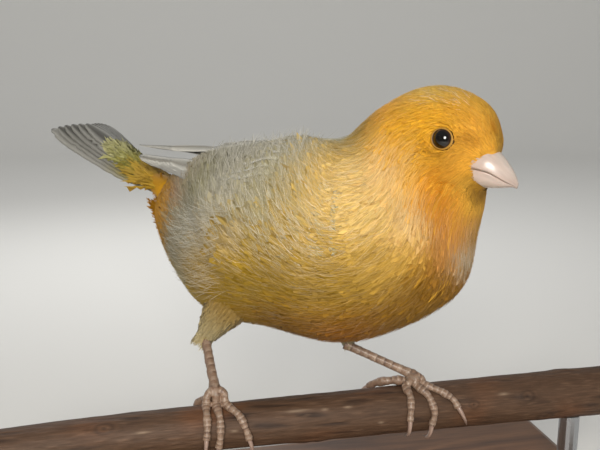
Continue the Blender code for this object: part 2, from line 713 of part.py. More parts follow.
def stand(collection, hidden):
    """A flat base and two short rods whose tops are hollowed to seat the perch."""
    height = BASE_SIZE[2]
    bm = bmesh.new()
    bmesh.ops.create_cube(bm, size=1.0)
    bmesh.ops.scale(bm, vec=Vector(BASE_SIZE) * MM, verts=bm.verts)
    base = finish_bmesh(bm, "stand_base", collection, "stand_wood")
    base.location = (0.0, 0.0, height / 2 * MM)
    round_edges = base.modifiers.new("edges", "BEVEL")
    round_edges.width = BASE_CORNER * MM
    round_edges.segments = 2
    for side, name in ((-1, "left"), (1, "right")):
        x = side * ROD_X
        bm = bmesh.new()
        length = PERCH_HEIGHT - height - GAP - ROD_SEAT
        bmesh.ops.create_cone(
            bm, cap_ends=True, segments=ROD_SEGMENTS, radius1=ROD_RADIUS * MM, radius2=ROD_RADIUS * MM,
            depth=length * MM,
        )
        rod = finish_bmesh(bm, "stand_rod_" + name, collection, "stand_steel")
        rod.matrix_world = Matrix.Translation(Vector((x, 0, height + GAP + length / 2)) * MM)
        apply_boolean(rod, "DIFFERENCE", [perch(hidden, GAP, "perch_cutter")])


def main():
    for old in list(bpy.data.objects):
        bpy.data.objects.remove(old)
    collection = new_collection("canary")
    hidden = new_collection("cutters", hidden=True)
    stand(collection, hidden)
    perch(collection)
    body_node("torso", 0.0, TORSO_END, RING_STEP, collection, "yellow_plumage")
    body_node("neck", TORSO_END, NECK_END, RING_STEP, collection, "yellow_plumage")
    head(collection, hidden)
    cutter = body_cutter(hidden)
    wing("wing_right", -1, collection, cutter, hidden)
    wing("wing_left", 1, collection, cutter, hidden)
    tail(collection, cutter, hidden)
    for side in ("right", "left"):
        leg(side, collection, cutter, hidden)
    bpy.data.objects.remove(cutter)


main()
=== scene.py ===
# A life-size canary on a cut branch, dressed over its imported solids: skin, feathers, wings, tail, eyes, bill,
# legs, perch and stand. Lengths are millimetres in the dictionaries and metres in the meshes.
# +Z is up and the branch runs along X.
import math

import bpy
import numpy as np
from mathutils import Euler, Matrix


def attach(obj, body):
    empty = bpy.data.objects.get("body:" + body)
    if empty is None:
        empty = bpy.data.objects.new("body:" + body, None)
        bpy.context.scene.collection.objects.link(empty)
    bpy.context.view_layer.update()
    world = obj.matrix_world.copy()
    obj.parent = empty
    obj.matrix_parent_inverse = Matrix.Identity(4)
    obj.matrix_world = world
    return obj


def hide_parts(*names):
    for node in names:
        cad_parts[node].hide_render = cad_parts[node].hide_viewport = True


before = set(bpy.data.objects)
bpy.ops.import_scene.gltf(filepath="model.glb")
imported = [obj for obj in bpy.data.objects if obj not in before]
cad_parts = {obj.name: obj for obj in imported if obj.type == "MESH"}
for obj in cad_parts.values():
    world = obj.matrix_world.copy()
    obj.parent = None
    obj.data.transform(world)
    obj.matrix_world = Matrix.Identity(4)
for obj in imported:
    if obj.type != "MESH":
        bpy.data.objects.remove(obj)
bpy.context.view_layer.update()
mm = 0.001
sides = {"right": -1, "left": 1}
print("frame loaded:", len(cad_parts), "solids")


# Small tools

# sRGB hex to linear light: ((c + 0.055) / 1.055) ^ 2.4 above 0.04045, c / 12.92 below
def linearColour(code):
    values = np.array([int(code[i:i + 2], 16) for i in (0, 2, 4)]) / 255
    return np.where(values > 0.04045, ((values + 0.055) / 1.055) ** 2.4, values / 12.92)


# 0 below low, 1 above high, 3s^2 - 2s^3 between
def smoothStep(low, high, value):
    share = np.clip((np.asarray(value, float) - low) / (high - low), 0, 1)
    return share * share * (3 - 2 * share)


def mix(first, second, share):
    return first + (second - first) * share


def unit(vectors):
    return vectors / np.maximum(np.linalg.norm(vectors, axis=-1, keepdims=True), 1e-12)


# Catmull-Rom curve through the rows, read at places counted in rows
def smoothBetween(rows, at):
    rows = np.asarray(rows, float)
    ends = np.concatenate([[2 * rows[0] - rows[1]], rows, [2 * rows[-1] - rows[-2]]])
    first = np.clip(np.floor(at).astype(int), 0, len(rows) - 2)
    part = (at - first)[:, None]
    a, b, c, d = (ends[first + step] for step in range(4))
    curve = 2 * b + (c - a) * part + (2 * a - 5 * b + 4 * c - d) * part**2
    return 0.5 * (curve + (3 * b - a - 3 * c + d) * part**3)


# Soft noise in -1..1: the mean of sines along random directions, of about the wavelength
def ripple(points, wavelength, seed, waves=7):
    draw = np.random.default_rng(seed)
    ways = unit(draw.normal(size=(waves, 3))) * (2 * np.pi / wavelength) * draw.uniform(0.7, 1.4, (waves, 1))
    return np.sin(points @ ways.T + draw.uniform(0, 6.28, waves)).sum(axis=1) / math.sqrt(waves) * 0.75


# Quads of a grid of rows by columns, its columns closed into rings
def gridFaces(rows, columns):
    i, j = np.meshgrid(np.arange(rows - 1), np.arange(columns), indexing="ij")
    following = (j + 1) % columns
    quads = (i * columns + j, i * columns + following, (i + 1) * columns + following, (i + 1) * columns + j)
    return np.stack(quads, axis=-1).reshape(-1, 4)


# Grid faces with a fan to one more point at each end: the two points follow the grid's
def tubeFaces(rows, columns):
    j = np.arange(columns)
    following = (j + 1) % columns
    last = (rows - 1) * columns
    start = np.stack([np.full(columns, rows * columns), following, j], axis=1)
    end = np.stack([np.full(columns, rows * columns + 1), last + j, last + following], axis=1)
    return [gridFaces(rows, columns), start, end]


# The values of a ring grid with the means of its first and last ring added, for tubeFaces
def withEnds(rings):
    ends = [rings[0].mean(axis=0), rings[-1].mean(axis=0)]
    return np.concatenate([rings.reshape(-1, rings.shape[-1]), ends])


# The same faces, all turned round if the volume that they close is negative
def turnedOut(points, faceGroups):
    volume = 0.0
    for faces in faceGroups:
        for corner in range(1, faces.shape[1] - 1):
            a, b, c = (points[faces[:, k]] for k in (0, corner, corner + 1))
            volume += (a * np.cross(b, c)).sum()
    return faceGroups if volume > 0 else [faces[:, ::-1] for faces in faceGroups]


# Several ring grids as one mesh: their points in turn, with one group of quads and one of triangles
def joinTubes(tubes):
    points = [withEnds(rings) for rings in tubes]
    quads, fans, offset = [], [], 0
    for rings, vertices in zip(tubes, points):
        faces = turnedOut(vertices, tubeFaces(*rings.shape[:2]))
        quads.append(faces[0] + offset)
        fans += [fan + offset for fan in faces[1:]]
        offset += len(vertices)
    return np.concatenate(points), [np.concatenate(quads), np.concatenate(fans)]


# Corner normals of triangles: each corner's own normal, turned to its face's side and leaned toward the face
def facedNormals(points, faces, normals, lean=0.3):
    a, b, c = (points[faces[:, k]] for k in range(3))
    flat = unit(np.cross(b - a, c - a))[:, None]
    own = normals[faces]
    facing = np.where((own * flat).sum(axis=2, keepdims=True) < 0, -1.0, 1.0)
    return unit(own * facing + lean * flat).reshape(-1, 3)


# A mesh object from arrays: points in millimetres, and groups of faces with equal corner counts
def addPiece(name, points, faceGroups, material, tints, maps=None, normals=None, replaces=()):
    mesh = bpy.data.meshes.new(name)
    counts = np.concatenate([np.full(len(faces), faces.shape[1]) for faces in faceGroups])
    corners = np.concatenate([faces.ravel() for faces in faceGroups]).astype(np.int32)
    mesh.vertices.add(len(points))
    mesh.vertices.foreach_set("co", (points * mm).astype(np.float32).ravel())
    mesh.loops.add(len(corners))
    mesh.loops.foreach_set("vertex_index", corners)
    mesh.polygons.add(len(counts))
    mesh.polygons.foreach_set("loop_start", np.concatenate([[0], np.cumsum(counts)[:-1]]).astype(np.int32))
    mesh.polygons.foreach_set("use_smooth", np.ones(len(counts), dtype=bool))
    for mapName, places in (maps or {}).items():
        layer = mesh.uv_layers.new(name=mapName)
        layer.uv.foreach_set("vector", places[corners].astype(np.float32).ravel())
    layer = mesh.color_attributes.new("tint", "FLOAT_COLOR", "POINT")
    rgba = np.concatenate([tints, np.ones((len(tints), 1))], axis=1)
    layer.data.foreach_set("color", rgba.astype(np.float32).ravel())
    mesh.update(calc_edges=True)
    if normals is not None:
        mesh.normals_split_custom_set(facedNormals(points, faceGroups[0], normals).astype(np.float32))
    piece = bpy.data.objects.new(name, mesh)
    bpy.context.scene.collection.objects.link(piece)
    mesh.materials.append(material)
    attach(piece, "root")
    if replaces:
        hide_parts(*replaces)


# Materials

# One shader node with its settings; each link is a value or another node's output for that input
def addNode(tree, kind, settings=None, **links):
    node = tree.nodes.new(kind)
    for key, value in (settings or {}).items():
        setattr(node, key, value)
    for key, value in links.items():
        socket = node.inputs[int(key[1:]) if key[0] == "_" else key.replace("_", " ")]
        if isinstance(value, bpy.types.NodeSocket):
            tree.links.new(value, socket)
        else:
            socket.default_value = value
    return node


def newMaterial(name, **values):
    material = bpy.data.materials.new(name)
    material.use_nodes = True
    tree = material.node_tree
    shader = tree.nodes["Principled BSDF"]
    for key, value in values.items():
        shader.inputs[key.replace("_", " ")].default_value = value
    return material, tree, shader


# A material that takes its colour from the mesh's own tint
def tintedMaterial(name, **values):
    material, tree, shader = newMaterial(name, **values)
    tint = addNode(tree, "ShaderNodeVertexColor", {"layer_name": "tint"}).outputs["Color"]
    tree.links.new(tint, shader.inputs["Base Color"])
    return material, tree, shader, tint


# Noise in the object's own space, drawn out where a stretch is given
def grainPattern(tree, detail, scale=1.0, stretch=None, **more):
    place = addNode(tree, "ShaderNodeTexCoord").outputs["Object"]
    if stretch:
        place = addNode(tree, "ShaderNodeMapping", Vector=place, Scale=stretch).outputs[0]
    return addNode(tree, "ShaderNodeTexNoise", Vector=place, Scale=scale, Detail=detail, **more).outputs[0]


# Lays a pattern on a shader. The colour is multiplied by greys that follow the pattern over its span,
# and a bump of the given strength and depth in millimetres follows it too.
def layPattern(tree, shader, pattern, colour=None, span=(0.0, 1.0), greys=None, bump=None, invert=False):
    if greys:
        shade = addNode(tree, "ShaderNodeMapRange", Value=pattern, From_Min=span[0], From_Max=span[1],
                        To_Min=greys[0], To_Max=greys[1])
        scaled = addNode(tree, "ShaderNodeVectorMath", {"operation": "SCALE"}, _0=colour,
                         Scale=shade.outputs[0])
        tree.links.new(scaled.outputs[0], shader.inputs["Base Color"])
    if bump:
        relief = addNode(tree, "ShaderNodeBump", {"invert": invert}, Height=pattern, Strength=bump[0],
                         Distance=bump[1] * mm)
        tree.links.new(relief.outputs["Normal"], shader.inputs["Normal"])


# Roughness that follows a pattern between two values
def layRoughness(tree, shader, pattern, low, high):
    rough = addNode(tree, "ShaderNodeMapRange", Value=pattern, To_Min=low, To_Max=high)
    tree.links.new(rough.outputs[0], shader.inputs["Roughness"])


# Camera, lights and floor

view = {
    "place": (-41.70, -158.53, 115.98),  # mm from the centre of the base's underside
    "pitch": 11.8,  # degrees down
    "yaw": -12.0,
    "lens": 45.0,
    "sensor": 36.0,
}
lights = {  # place in mm, size in mm, watts, colour
    "key": ((-85, -290, 200), 120, 0.97, "fffaf2"),
    "fill": ((330, -240, 200), 320, 0.07, "f4f8ff"),
    "back": ((-60, 330, 330), 300, 0.5, "ffffff"),
    "wall": ((0, 260, 620), 800, 2.4, "ffffff"),
    "eyeGlint": ((-20, -175, 118), 5, 0.007, "ffffff"),
}
studio = {
    "floor": "e9e8e4", "air": "f3f4f6", "airStrength": 0.27,
    "radius": 900.0, "bend": 350.0, "height": 900.0, "columns": 96,
    "aim": (0, 0, 80), "wallAim": (150, 1250, 250),
}


def makeCamera():
    camera = bpy.data.objects.new("camera", bpy.data.cameras.new("camera"))
    camera.data.lens = view["lens"]
    camera.data.sensor_width = view["sensor"]
    camera.data.clip_start = 0.005
    camera.location = [value * mm for value in view["place"]]
    camera.rotation_euler = (math.radians(90 - view["pitch"]), 0, math.radians(view["yaw"]))
    bpy.context.scene.collection.objects.link(camera)
    bpy.context.scene.camera = camera


def makeLights():
    for name, (place, size, power, code) in lights.items():
        lamp = bpy.data.lights.new(name, "AREA")
        lamp.shape = "DISK"
        lamp.size = size * mm
        lamp.energy = power
        lamp.color = linearColour(code)
        holder = bpy.data.objects.new(name, lamp)
        holder.location = [value * mm for value in place]
        away = unit(np.array(place, float) - studio["wallAim" if name == "wall" else "aim"])
        holder.rotation_euler = (math.acos(away[2]), 0, math.atan2(away[1], away[0]) + math.pi / 2)
        bpy.context.scene.collection.objects.link(holder)
    world = bpy.data.worlds.new("air")
    world.use_nodes = True
    sky = world.node_tree.nodes["Background"]
    sky.inputs["Color"].default_value = (*linearColour(studio["air"]), 1)
    sky.inputs["Strength"].default_value = studio["airStrength"]
    bpy.context.scene.world = world


# Painted board: a disc whose rim bends up in a quarter circle to a wall, so no horizon shows
def makeFloor():
    flat, radius, columns = studio["radius"], studio["bend"], studio["columns"]
    bend = np.linspace(0, np.pi / 2, 24)
    out = np.concatenate([[1.0, flat * 0.5], flat + radius * np.sin(bend), [flat + radius]])
    up = np.concatenate([[0, 0], radius * (1 - np.cos(bend)), [studio["height"]]])
    turn = np.linspace(0, 2 * np.pi, columns, endpoint=False)
    rings = np.stack([out[:, None] * np.cos(turn), out[:, None] * np.sin(turn), up[:, None] + 0 * turn], -1)
    points = np.concatenate([rings.reshape(-1, 3), [[0, 0, 0]]]) * mm
    faces = gridFaces(len(out), columns).tolist()
    faces += [(len(points) - 1, j, (j + 1) % columns) for j in range(columns)]
    mesh = bpy.data.meshes.new("studioFloor")
    mesh.from_pydata(points.tolist(), [], faces)
    mesh.shade_smooth()
    floor = bpy.data.objects.new("studioFloor", mesh)
    bpy.context.scene.collection.objects.link(floor)
    colour = (*linearColour(studio["floor"]), 1)
    material = newMaterial("matt painted board", Roughness=0.9, Base_Color=colour)[0]
    mesh.materials.append(material)


bpy.context.scene.view_settings.view_transform = "Standard"
makeCamera()
makeLights()
makeFloor()
print("camera, lights and floor made")


# The body's form, shared by skin and coat

pose = {  # places in mm; turns are yaw, pitch (nose down) and roll in degrees
    "trunkPlace": (-3.0, 8.5, 74.5), "trunkTurn": (-42.0, 4.0, 0.0),
    "headPlace": (21.8, -14.6, 101.4), "headTurn": (-48.0, 15.0, -8.0),
}
form = {
    # rump to breast, in the trunk's frame: back x and z, belly x and z, half width, taper of the top
    "trunk": (
        (-42.1, 9.8, -44.0, 3.6, 4.0, 0.0),
        (-38.5, 12.7, -42.1, -3.1, 8.8, 0.0),
        (-28.5, 17.7, -34.6, -12.9, 13.5, -0.05),
        (-17.1, 21.6, -23.1, -20.5, 17.5, -0.08),
        (-4.0, 24.6, -5.9, -19.9, 19.5, -0.1),
        (5.0, 25.4, 11.5, -19.2, 19.5, -0.1),
        (9.0, 28.2, 25.8, -12.0, 18.5, -0.08),
        (13.0, 32.6, 35.9, -2.1, 16.0, -0.06),
    ),
    # nape to bill, in the head's frame, whose origin lies between the eyes
    "head": (
        (-16.5, 3.2, 9.7, -17.0, 12.0, -0.1),
        (-12.0, 7.3, 9.6, -12.2, 9.7, -0.14),
        (-6.9, 9.6, 9.0, -9.6, 8.4, -0.14),
        (-1.2, 10.0, 8.6, -8.5, 7.8, -0.1),
        (4.2, 8.5, 9.0, -7.9, 6.7, -0.02),
        (7.3, 5.3, 9.1, -7.4, 5.2, 0.0),
        (8.9, 2.8, 9.1, -7.0, 4.2, 0.0),
        (9.3, 0.9, 9.2, -6.8, 3.5, 0.0),
    ),
    "rings": 150,
    "ringPoints": 112,
    "faceFrom": 7.9,  # place along the body where the face starts
    "besideBill": 0.44,  # how far the cheeks are drawn in
    "socket": (8.0, 2.3, 4.2),  # the face's distance from the middle round the eye, and how far that reaches
    # coat's depth over the skin, by place along the body
    "depthAt": (0, 7, 8.5, 10, 12, 15),
    "depth": (1.3, 1.3, 1.0, 0.7, 0.5, 0.3),
}


def turnMatrix(turn):
    yaw, pitch, roll = (math.radians(angle) for angle in turn)
    return np.array(Euler((roll, pitch, yaw), "XYZ").to_matrix())


trunkTurn, headTurn = turnMatrix(pose["trunkTurn"]), turnMatrix(pose["headTurn"])


def fromTrunk(points):
    return np.asarray(points, float) @ trunkTurn.T + pose["trunkPlace"]


def toTrunk(points):
    return (points - pose["trunkPlace"]) @ trunkTurn


def fromHead(points):
    return np.asarray(points, float) @ headTurn.T + pose["headPlace"]


def toHead(points):
    return (points - pose["headPlace"]) @ headTurn


def bodySections():
    rows = []
    for kind, turn in (("trunk", trunkTurn), ("head", headTurn)):
        for backX, backZ, bellyX, bellyZ, width, taper in form[kind]:
            back = turn @ (backX, 0, backZ) + pose[kind + "Place"]
            belly = turn @ (bellyX, 0, bellyZ) + pose[kind + "Place"]
            rows.append(np.concatenate([back, belly, turn[:, 1], (width, taper)]))
    return np.array(rows)


sections = bodySections()
bodyEnd = len(sections) - 1.0


# Ellipse at place t, from back (angle 0) to belly (pi): middle + cos (tall + h) up + sin (wide + h) side.
# Past either end it goes on along the last slope.
def bodyAt(t, angle, height=0.0):
    held = np.clip(t, 0.0, bodyEnd)
    rows = smoothBetween(sections, held)
    beyond = (t - held)[:, None]
    if np.any(beyond):
        near = np.clip(held, 0.01, bodyEnd - 0.01)
        slope = (smoothBetween(sections, near + 0.01) - smoothBetween(sections, near - 0.01)) / 0.02
        rows = rows + beyond * slope
    back, belly, side = rows[:, 0:3], rows[:, 3:6], rows[:, 6:9]
    width, taper = rows[:, 9], rows[:, 10]
    half = (back - belly) / 2
    tall = np.linalg.norm(half, axis=1)
    up = half / tall[:, None]
    side = unit(side - (side * up).sum(axis=1, keepdims=True) * up)
    cos, sin = np.cos(angle), np.sin(angle)
    across = sin * (np.maximum(width, 0.3) + height) * (1 + taper * cos)
    points = (back + belly) / 2 + (cos * (tall + height))[:, None] * up + across[:, None] * side
    return drawnFace(points, t, np.broadcast_to(height, t.shape))


# Cheeks drawn in beside the bill: the side distance shrinks by a share that grows from x = 1.2 to 4.4.
# Round each eye the face is brought to one level, so that the lid lies evenly on it.
def drawnFace(points, t, height):
    face = t > form["faceFrom"]
    local = toHead(points[face])
    level, inner, outer = form["socket"]
    flat = 1 - smoothStep(inner, outer, np.hypot(local[:, 0], local[:, 2]))
    local[:, 1] += np.sign(local[:, 1]) * flat * (level + height[face] - np.abs(local[:, 1]))
    beside = smoothStep(1.2, 4.4, local[:, 0]) * smoothStep(-8.0, -5.9, local[:, 2])
    beside = beside * (1 - smoothStep(-0.4, 4.0, local[:, 2]))
    local[:, 1] *= 1 - form["besideBill"] * beside
    points[face] = fromHead(local)
    return points


# Folded wings: the ellipse that each lies on, from its front to its tip, in the trunk's frame

wingForm = {
    # x, middle height, half width, half height, angles of the upper and lower edges from the top
    "rows": (
        (18.0, 0.0, 20.4, 34.0, 70.0, 76.0),
        (14.0, -0.5, 20.6, 33.0, 52.0, 80.0),
        (7.0, -1.2, 20.8, 30.5, 31.0, 82.0),
        (-6.0, -2.4, 20.6, 27.6, 15.0, 80.0),
        (-19.0, -3.4, 18.8, 25.4, 11.0, 72.0),
        (-31.0, -0.4, 15.2, 20.0, 8.0, 52.0),
        (-42.0, 5.2, 9.4, 13.0, 7.0, 35.0),
        (-55.0, 10.6, 4.8, 6.9, 6.0, 28.0),
    ),
    # for the right wing (-1) and the left one (1)
    "slip": {-1: 20.0, 1: 0.0},  # degrees by which the hind end hangs lower
    "over": {-1: 0.0, 1: 36.0},  # degrees by which the hind end crosses the back
    "stacked": {-1: -0.3, 1: 0.4},  # how far the hind end is raised, so that one lies over the other
    "narrow": {-1: 0.5, 1: 1.0},  # depth left to the hind end
    "slipStart": -8.0,
    "drawnIn": {-1: 5.0, 1: 0.0},  # how far the tip is drawn forward
    "cover": {-1: 1.0, 1: 2.2},  # how far the coverts stand over the form
}
wingRows = np.array(wingForm["rows"])[::-1]


# Middle height, half width, half height, upper and lower edge angle at each x
def wingShape(side, x):
    middle, wide, high, top, bottom = (np.interp(x, wingRows[:, 0], wingRows[:, i]) for i in range(1, 6))
    start, tip = wingForm["slipStart"], wingRows[0, 0]
    slip = wingForm["slip"][side] * np.clip((start - x) / (start - tip), 0, 1) ** 0.8
    hind = smoothStep(10, 30, -x)
    bottom = top + (bottom - top) * mix(1.0, wingForm["narrow"][side], hind)
    return middle, wide, high, top + slip - wingForm["over"][side] * hind, bottom + slip


# The wing's ellipse at x, read at a share of the way from its upper to its lower edge
def wingAt(side, x, share, lift):
    middle, wide, high, top, bottom = wingShape(side, x)
    angle = np.radians(top + (bottom - top) * share)
    lift = lift + wingForm["stacked"][side] * smoothStep(8, 24, -x)
    y, z = side * (wide + lift) * np.sin(angle), middle + (high + lift) * np.cos(angle)
    return fromTrunk(np.stack([x, y, z], axis=-1))


# Height of the wing's outside over the body, and how surely the place is under the wing (0 to 1).
# The coat starts to climb some degrees before the wing's upper edge.
def wingCover(t, angle):
    points = toTrunk(bodyAt(t, angle))
    x = points[:, 0]
    front = smoothStep(-8, 8, x)
    rise, under = np.zeros(len(t)), np.zeros(len(t))
    for side in (-1, 1):
        far = side > 0
        middle, wide, high, top, bottom = wingShape(side, x)
        y, z = side * points[:, 1] / wide, (points[:, 2] - middle) / high
        around = np.degrees(np.arctan2(y, z))
        outside = (y > 0) * (t < 7.5)
        distance = (1 / np.maximum(np.hypot(y, z), 0.2) - 1) * np.hypot(points[:, 1], points[:, 2] - middle)
        early = 4 + 18 * front if far else 22
        inside = outside * smoothStep(top - early, top - early + 20, around)
        inside = inside * (1 - smoothStep(bottom - 8 * far, bottom + 22 - 12 * far, around))
        inside = inside * (1 - smoothStep(18, 25, x)) * smoothStep(-46, -24, x)
        rise += inside * np.clip(distance + wingForm["cover"][side], 0, 8) * (front if far else 1)
        if far:
            inner = smoothStep(top + 4, top + 12, around) * (1 - smoothStep(bottom - 26, bottom - 16, around))
            under += outside * inner * (np.abs(x + 10) < 20)
        else:
            under += inside * (x < -27)
    return rise, under


# The body with the folded wings' bulge added, for the feathers that lie over them
def outerAt(t, angle, height):
    return bodyAt(t, angle, height + wingCover(t, angle)[0])


# Markings, shared by skin and coat

plumage = {
    "gold": "dca83c", "amber": "dca136", "saffron": "c67e0c", "ochre": "b0842c", "crownGold": "dcb95c",
    "yolk": "e6ac28", "butter": "d8b254", "cream": "e8c674", "ivory": "dacfb4", "chalk": "b4b4aa",
    "pinkCream": "e0bc82", "sandGrey": "a49a70", "stoneGrey": "a8a492", "olive": "8a8240", "straw": "b08e28",
    # honey is the belly's own yellow, darkened by painted shade under the body
    "honey": "926a1c", "umber": "885e14", "ash": "86826c", "mustard": "9c7c1c", "turmeric": "b08c30",
    "maize": "c8a046", "rust": "9c5e0c", "pink": "b49484", "orange": "c08a20",
    # whitish ends of feathers, strands and wisps, and the skin of the thighs
    "frostTip": "f8efdc", "strandTip": "fbf4e6", "wisp": "f4f0e6", "thighSkin": "cfc39a",
}
marks = {
    # colours from rump to bill along the back, the sides, the flanks and the belly
    "at": (0, 1.7, 2.6, 3.4, 4.5, 6, 7, 8.2, 10, 12, 15),
    "back": "amber sandGrey stoneGrey stoneGrey stoneGrey sandGrey straw amber crownGold gold ochre",
    "side": "orange orange ash stoneGrey sandGrey butter cream yolk yolk amber amber",
    "flank": "orange orange ash mustard mustard turmeric maize yolk amber amber amber",
    # the honey stretch of the belly is its own yellow darkened by painted shade under the body
    "belly": "orange orange sandGrey straw honey honey honey saffron gold honey gold",
    # degrees from the back over which each gives way to the next
    "edges": ((22, 62), (76, 104), (112, 140)),
    # spots: place along the body, degrees from the back (both sides), radius in mm, colour, strength
    "spots": (
        (7.4, 72, 5.2, "pinkCream", 0.75),  # ear patch
        (6.3, 62, 5.0, "cream", 0.7),  # side of the neck
        (8.7, 98, 4.0, "yolk", 0.6),  # cheek
        (7.6, 112, 5.5, "ivory", 0.45),  # whitish band over the upper breast
        (8.6, 116, 3.6, "saffron", 0.95),  # malar stripe
        (8.3, 128, 4.2, "saffron", 0.8),  # throat side
        (12.9, 26, 1.3, "saffron", 0.8),  # mark over the nostril
        (11.8, 78, 3.4, "amber", 0.8),  # lore
        (10.0, 20, 4.0, "butter", 0.5),  # pale crown tips
        (7.75, 172, 4.5, "ivory", 0.8),  # white mark at the breast's middle
        (7.0, 142, 6.0, "umber", 0.5),
        (5.3, 150, 9.0, "rust", 0.7),  # orange keel of the belly
        (4.6, 132, 6.0, "umber", 0.5),
        (4.6, 70, 3.2, "straw", 0.7),  # yellow fleck over the wing
        (2.65, 56, 4.0, "olive", 0.5),  # olive tinge on the hind flank
        (3.8, 96, 7.0, "straw", 0.9),  # yellow hind flank
        (3.0, 86, 4.5, "chalk", 0.4),  # white rear flank
        (1.9, 40, 5.0, "stoneGrey", 0.9),
        (1.8, 60, 2.4, "pink", 0.6),  # pinkish patch by the tail
    ),
}


# Linear colour of the plumage: bands along the body mixed round it, then soft spots exp(-(d / r)^2)
def markings(t, angle, points):
    bands = []
    for key in ("back", "side", "flank", "belly"):
        band = np.array([linearColour(plumage[tone]) for tone in marks[key].split()])
        bands.append(np.stack([np.interp(t, marks["at"], band[:, i]) for i in range(3)], axis=1))
    around = np.abs(np.degrees(angle))
    colour = bands[0]
    for band, edge in zip(bands[1:], marks["edges"]):
        colour = mix(colour, band, smoothStep(*edge, around)[:, None])
    for place, degrees, radius, tone, strength in marks["spots"]:
        for side in (-1, 1):
            centre = bodyAt(np.array([place]), np.radians([side * degrees]))
            near = np.exp(-((points - centre) ** 2).sum(axis=1) / radius**2)
            colour = mix(colour, linearColour(plumage[tone]), (strength * near)[:, None])
    return colour * (1 + 0.07 * ripple(points, 9.0, 4))[:, None]


# Skin under the coat

# Bird skin with down about 0.7 mm across: soft and matt
def skinMaterial():
    material, tree, shader, _ = tintedMaterial("downy skin", Roughness=0.85)
    layPattern(tree, shader, grainPattern(tree, 4.0, 1400.0), bump=(0.5, 0.3))
    return material


legs = {
    "right": {"hip": (-19.5, 12.0, 66.0), "heel": (-28.5, 13.2, 52.9), "foot": (-27.6, 0.0, 45.2),
              "thigh": (7.0, 4.6, 2.1)},
    "left": {"hip": (4.0, 12.0, 62.0), "heel": (5.5, 6.5, 50.4), "foot": (19.3, 0.0, 44.6),
             "thigh": (5.5, 3.4, 1.2)},
}


# Round thigh from hip (0) to heel (1), its radius read from the leg's three sizes
def thighAt(side):
    sizes = legs[side]
    hip, heel = (np.array(sizes[key]) for key in ("hip", "heel"))
    down = unit(heel - hip)
    first = unit(np.cross(down, (0.0, 1.0, 0.0)))
    second = np.cross(down, first)

    def place(run, turn, height=0.0):
        radius = np.interp(run, (0, 0.55, 1), sizes["thigh"]) + height
        ring = np.cos(turn)[:, None] * first + np.sin(turn)[:, None] * second
        return hip + (heel - hip) * run[:, None] + radius[:, None] * ring
    return place


# Places, angles and ring grid of a surface of (place, angle, height)
def ringGrid(surface, last, rows, columns, height):
    ring = np.linspace(0, 2 * np.pi, columns, endpoint=False)
    t, angle = (grid.ravel() for grid in np.meshgrid(np.linspace(0, last, rows), ring, indexing="ij"))
    return t, angle, surface(t, angle, height(t)).reshape(rows, columns, 3)


def makeSkin():
    coatDepth = lambda t: -np.interp(t, form["depthAt"], form["depth"])
    t, angle, rings = ringGrid(bodyAt, bodyEnd, form["rings"], form["ringPoints"], coatDepth)
    angle = np.where(angle > np.pi, angle - 2 * np.pi, angle)
    tubes = [rings]
    colours = [markings(np.append(t, (0, bodyEnd)), np.append(angle, (0, 0)), withEnds(rings)) * 0.8]
    for side in legs:
        tubes.append(ringGrid(thighAt(side), 1, 16, 32, lambda run: -0.5 + 0 * run)[2])
        colours.append(np.tile(linearColour(plumage["thighSkin"]), (16 * 32 + 2, 1)))
    points, faces = joinTubes(tubes)
    addPiece("birdSkin", points, faces, skinMaterial(), np.concatenate(colours),
             replaces=("torso", "neck", "head", "thigh_left", "thigh_right"))


makeSkin()
print("skin made")


# Coat: frayed feathers and fine strands that follow the body

# Keratin barbs: matt, with a soft bloom at grazing angles. On vanes, fine barb lines run at a slant:
# sin(2 pi (along - slant |across|) / spacing).
def featherMaterial(name, sheen, barbs=None):
    material, tree, shader, tint = tintedMaterial(
        name, Roughness=0.75, Sheen_Weight=sheen, Sheen_Roughness=0.5, Specular_IOR_Level=0.12)
    if barbs:
        place = addNode(tree, "ShaderNodeUVMap", {"uv_map": "vane"}).outputs["UV"]
        split = addNode(tree, "ShaderNodeSeparateXYZ", Vector=place).outputs
        wave = split["Y"]
        for operation, other in (("ABSOLUTE", 0.0), ("MULTIPLY", -barbs["slant"]), ("ADD", split["X"]),
                                 ("MULTIPLY", 2 * math.pi / barbs["spacing"]), ("SINE", 0.0)):
            wave = addNode(tree, "ShaderNodeMath", {"operation": operation}, _0=wave, _1=other).outputs[0]
        layPattern(tree, shader, wave, tint, (-1.0, 1.0), (barbs["dark"], 1.0), (barbs["strength"], 0.08))
    return material


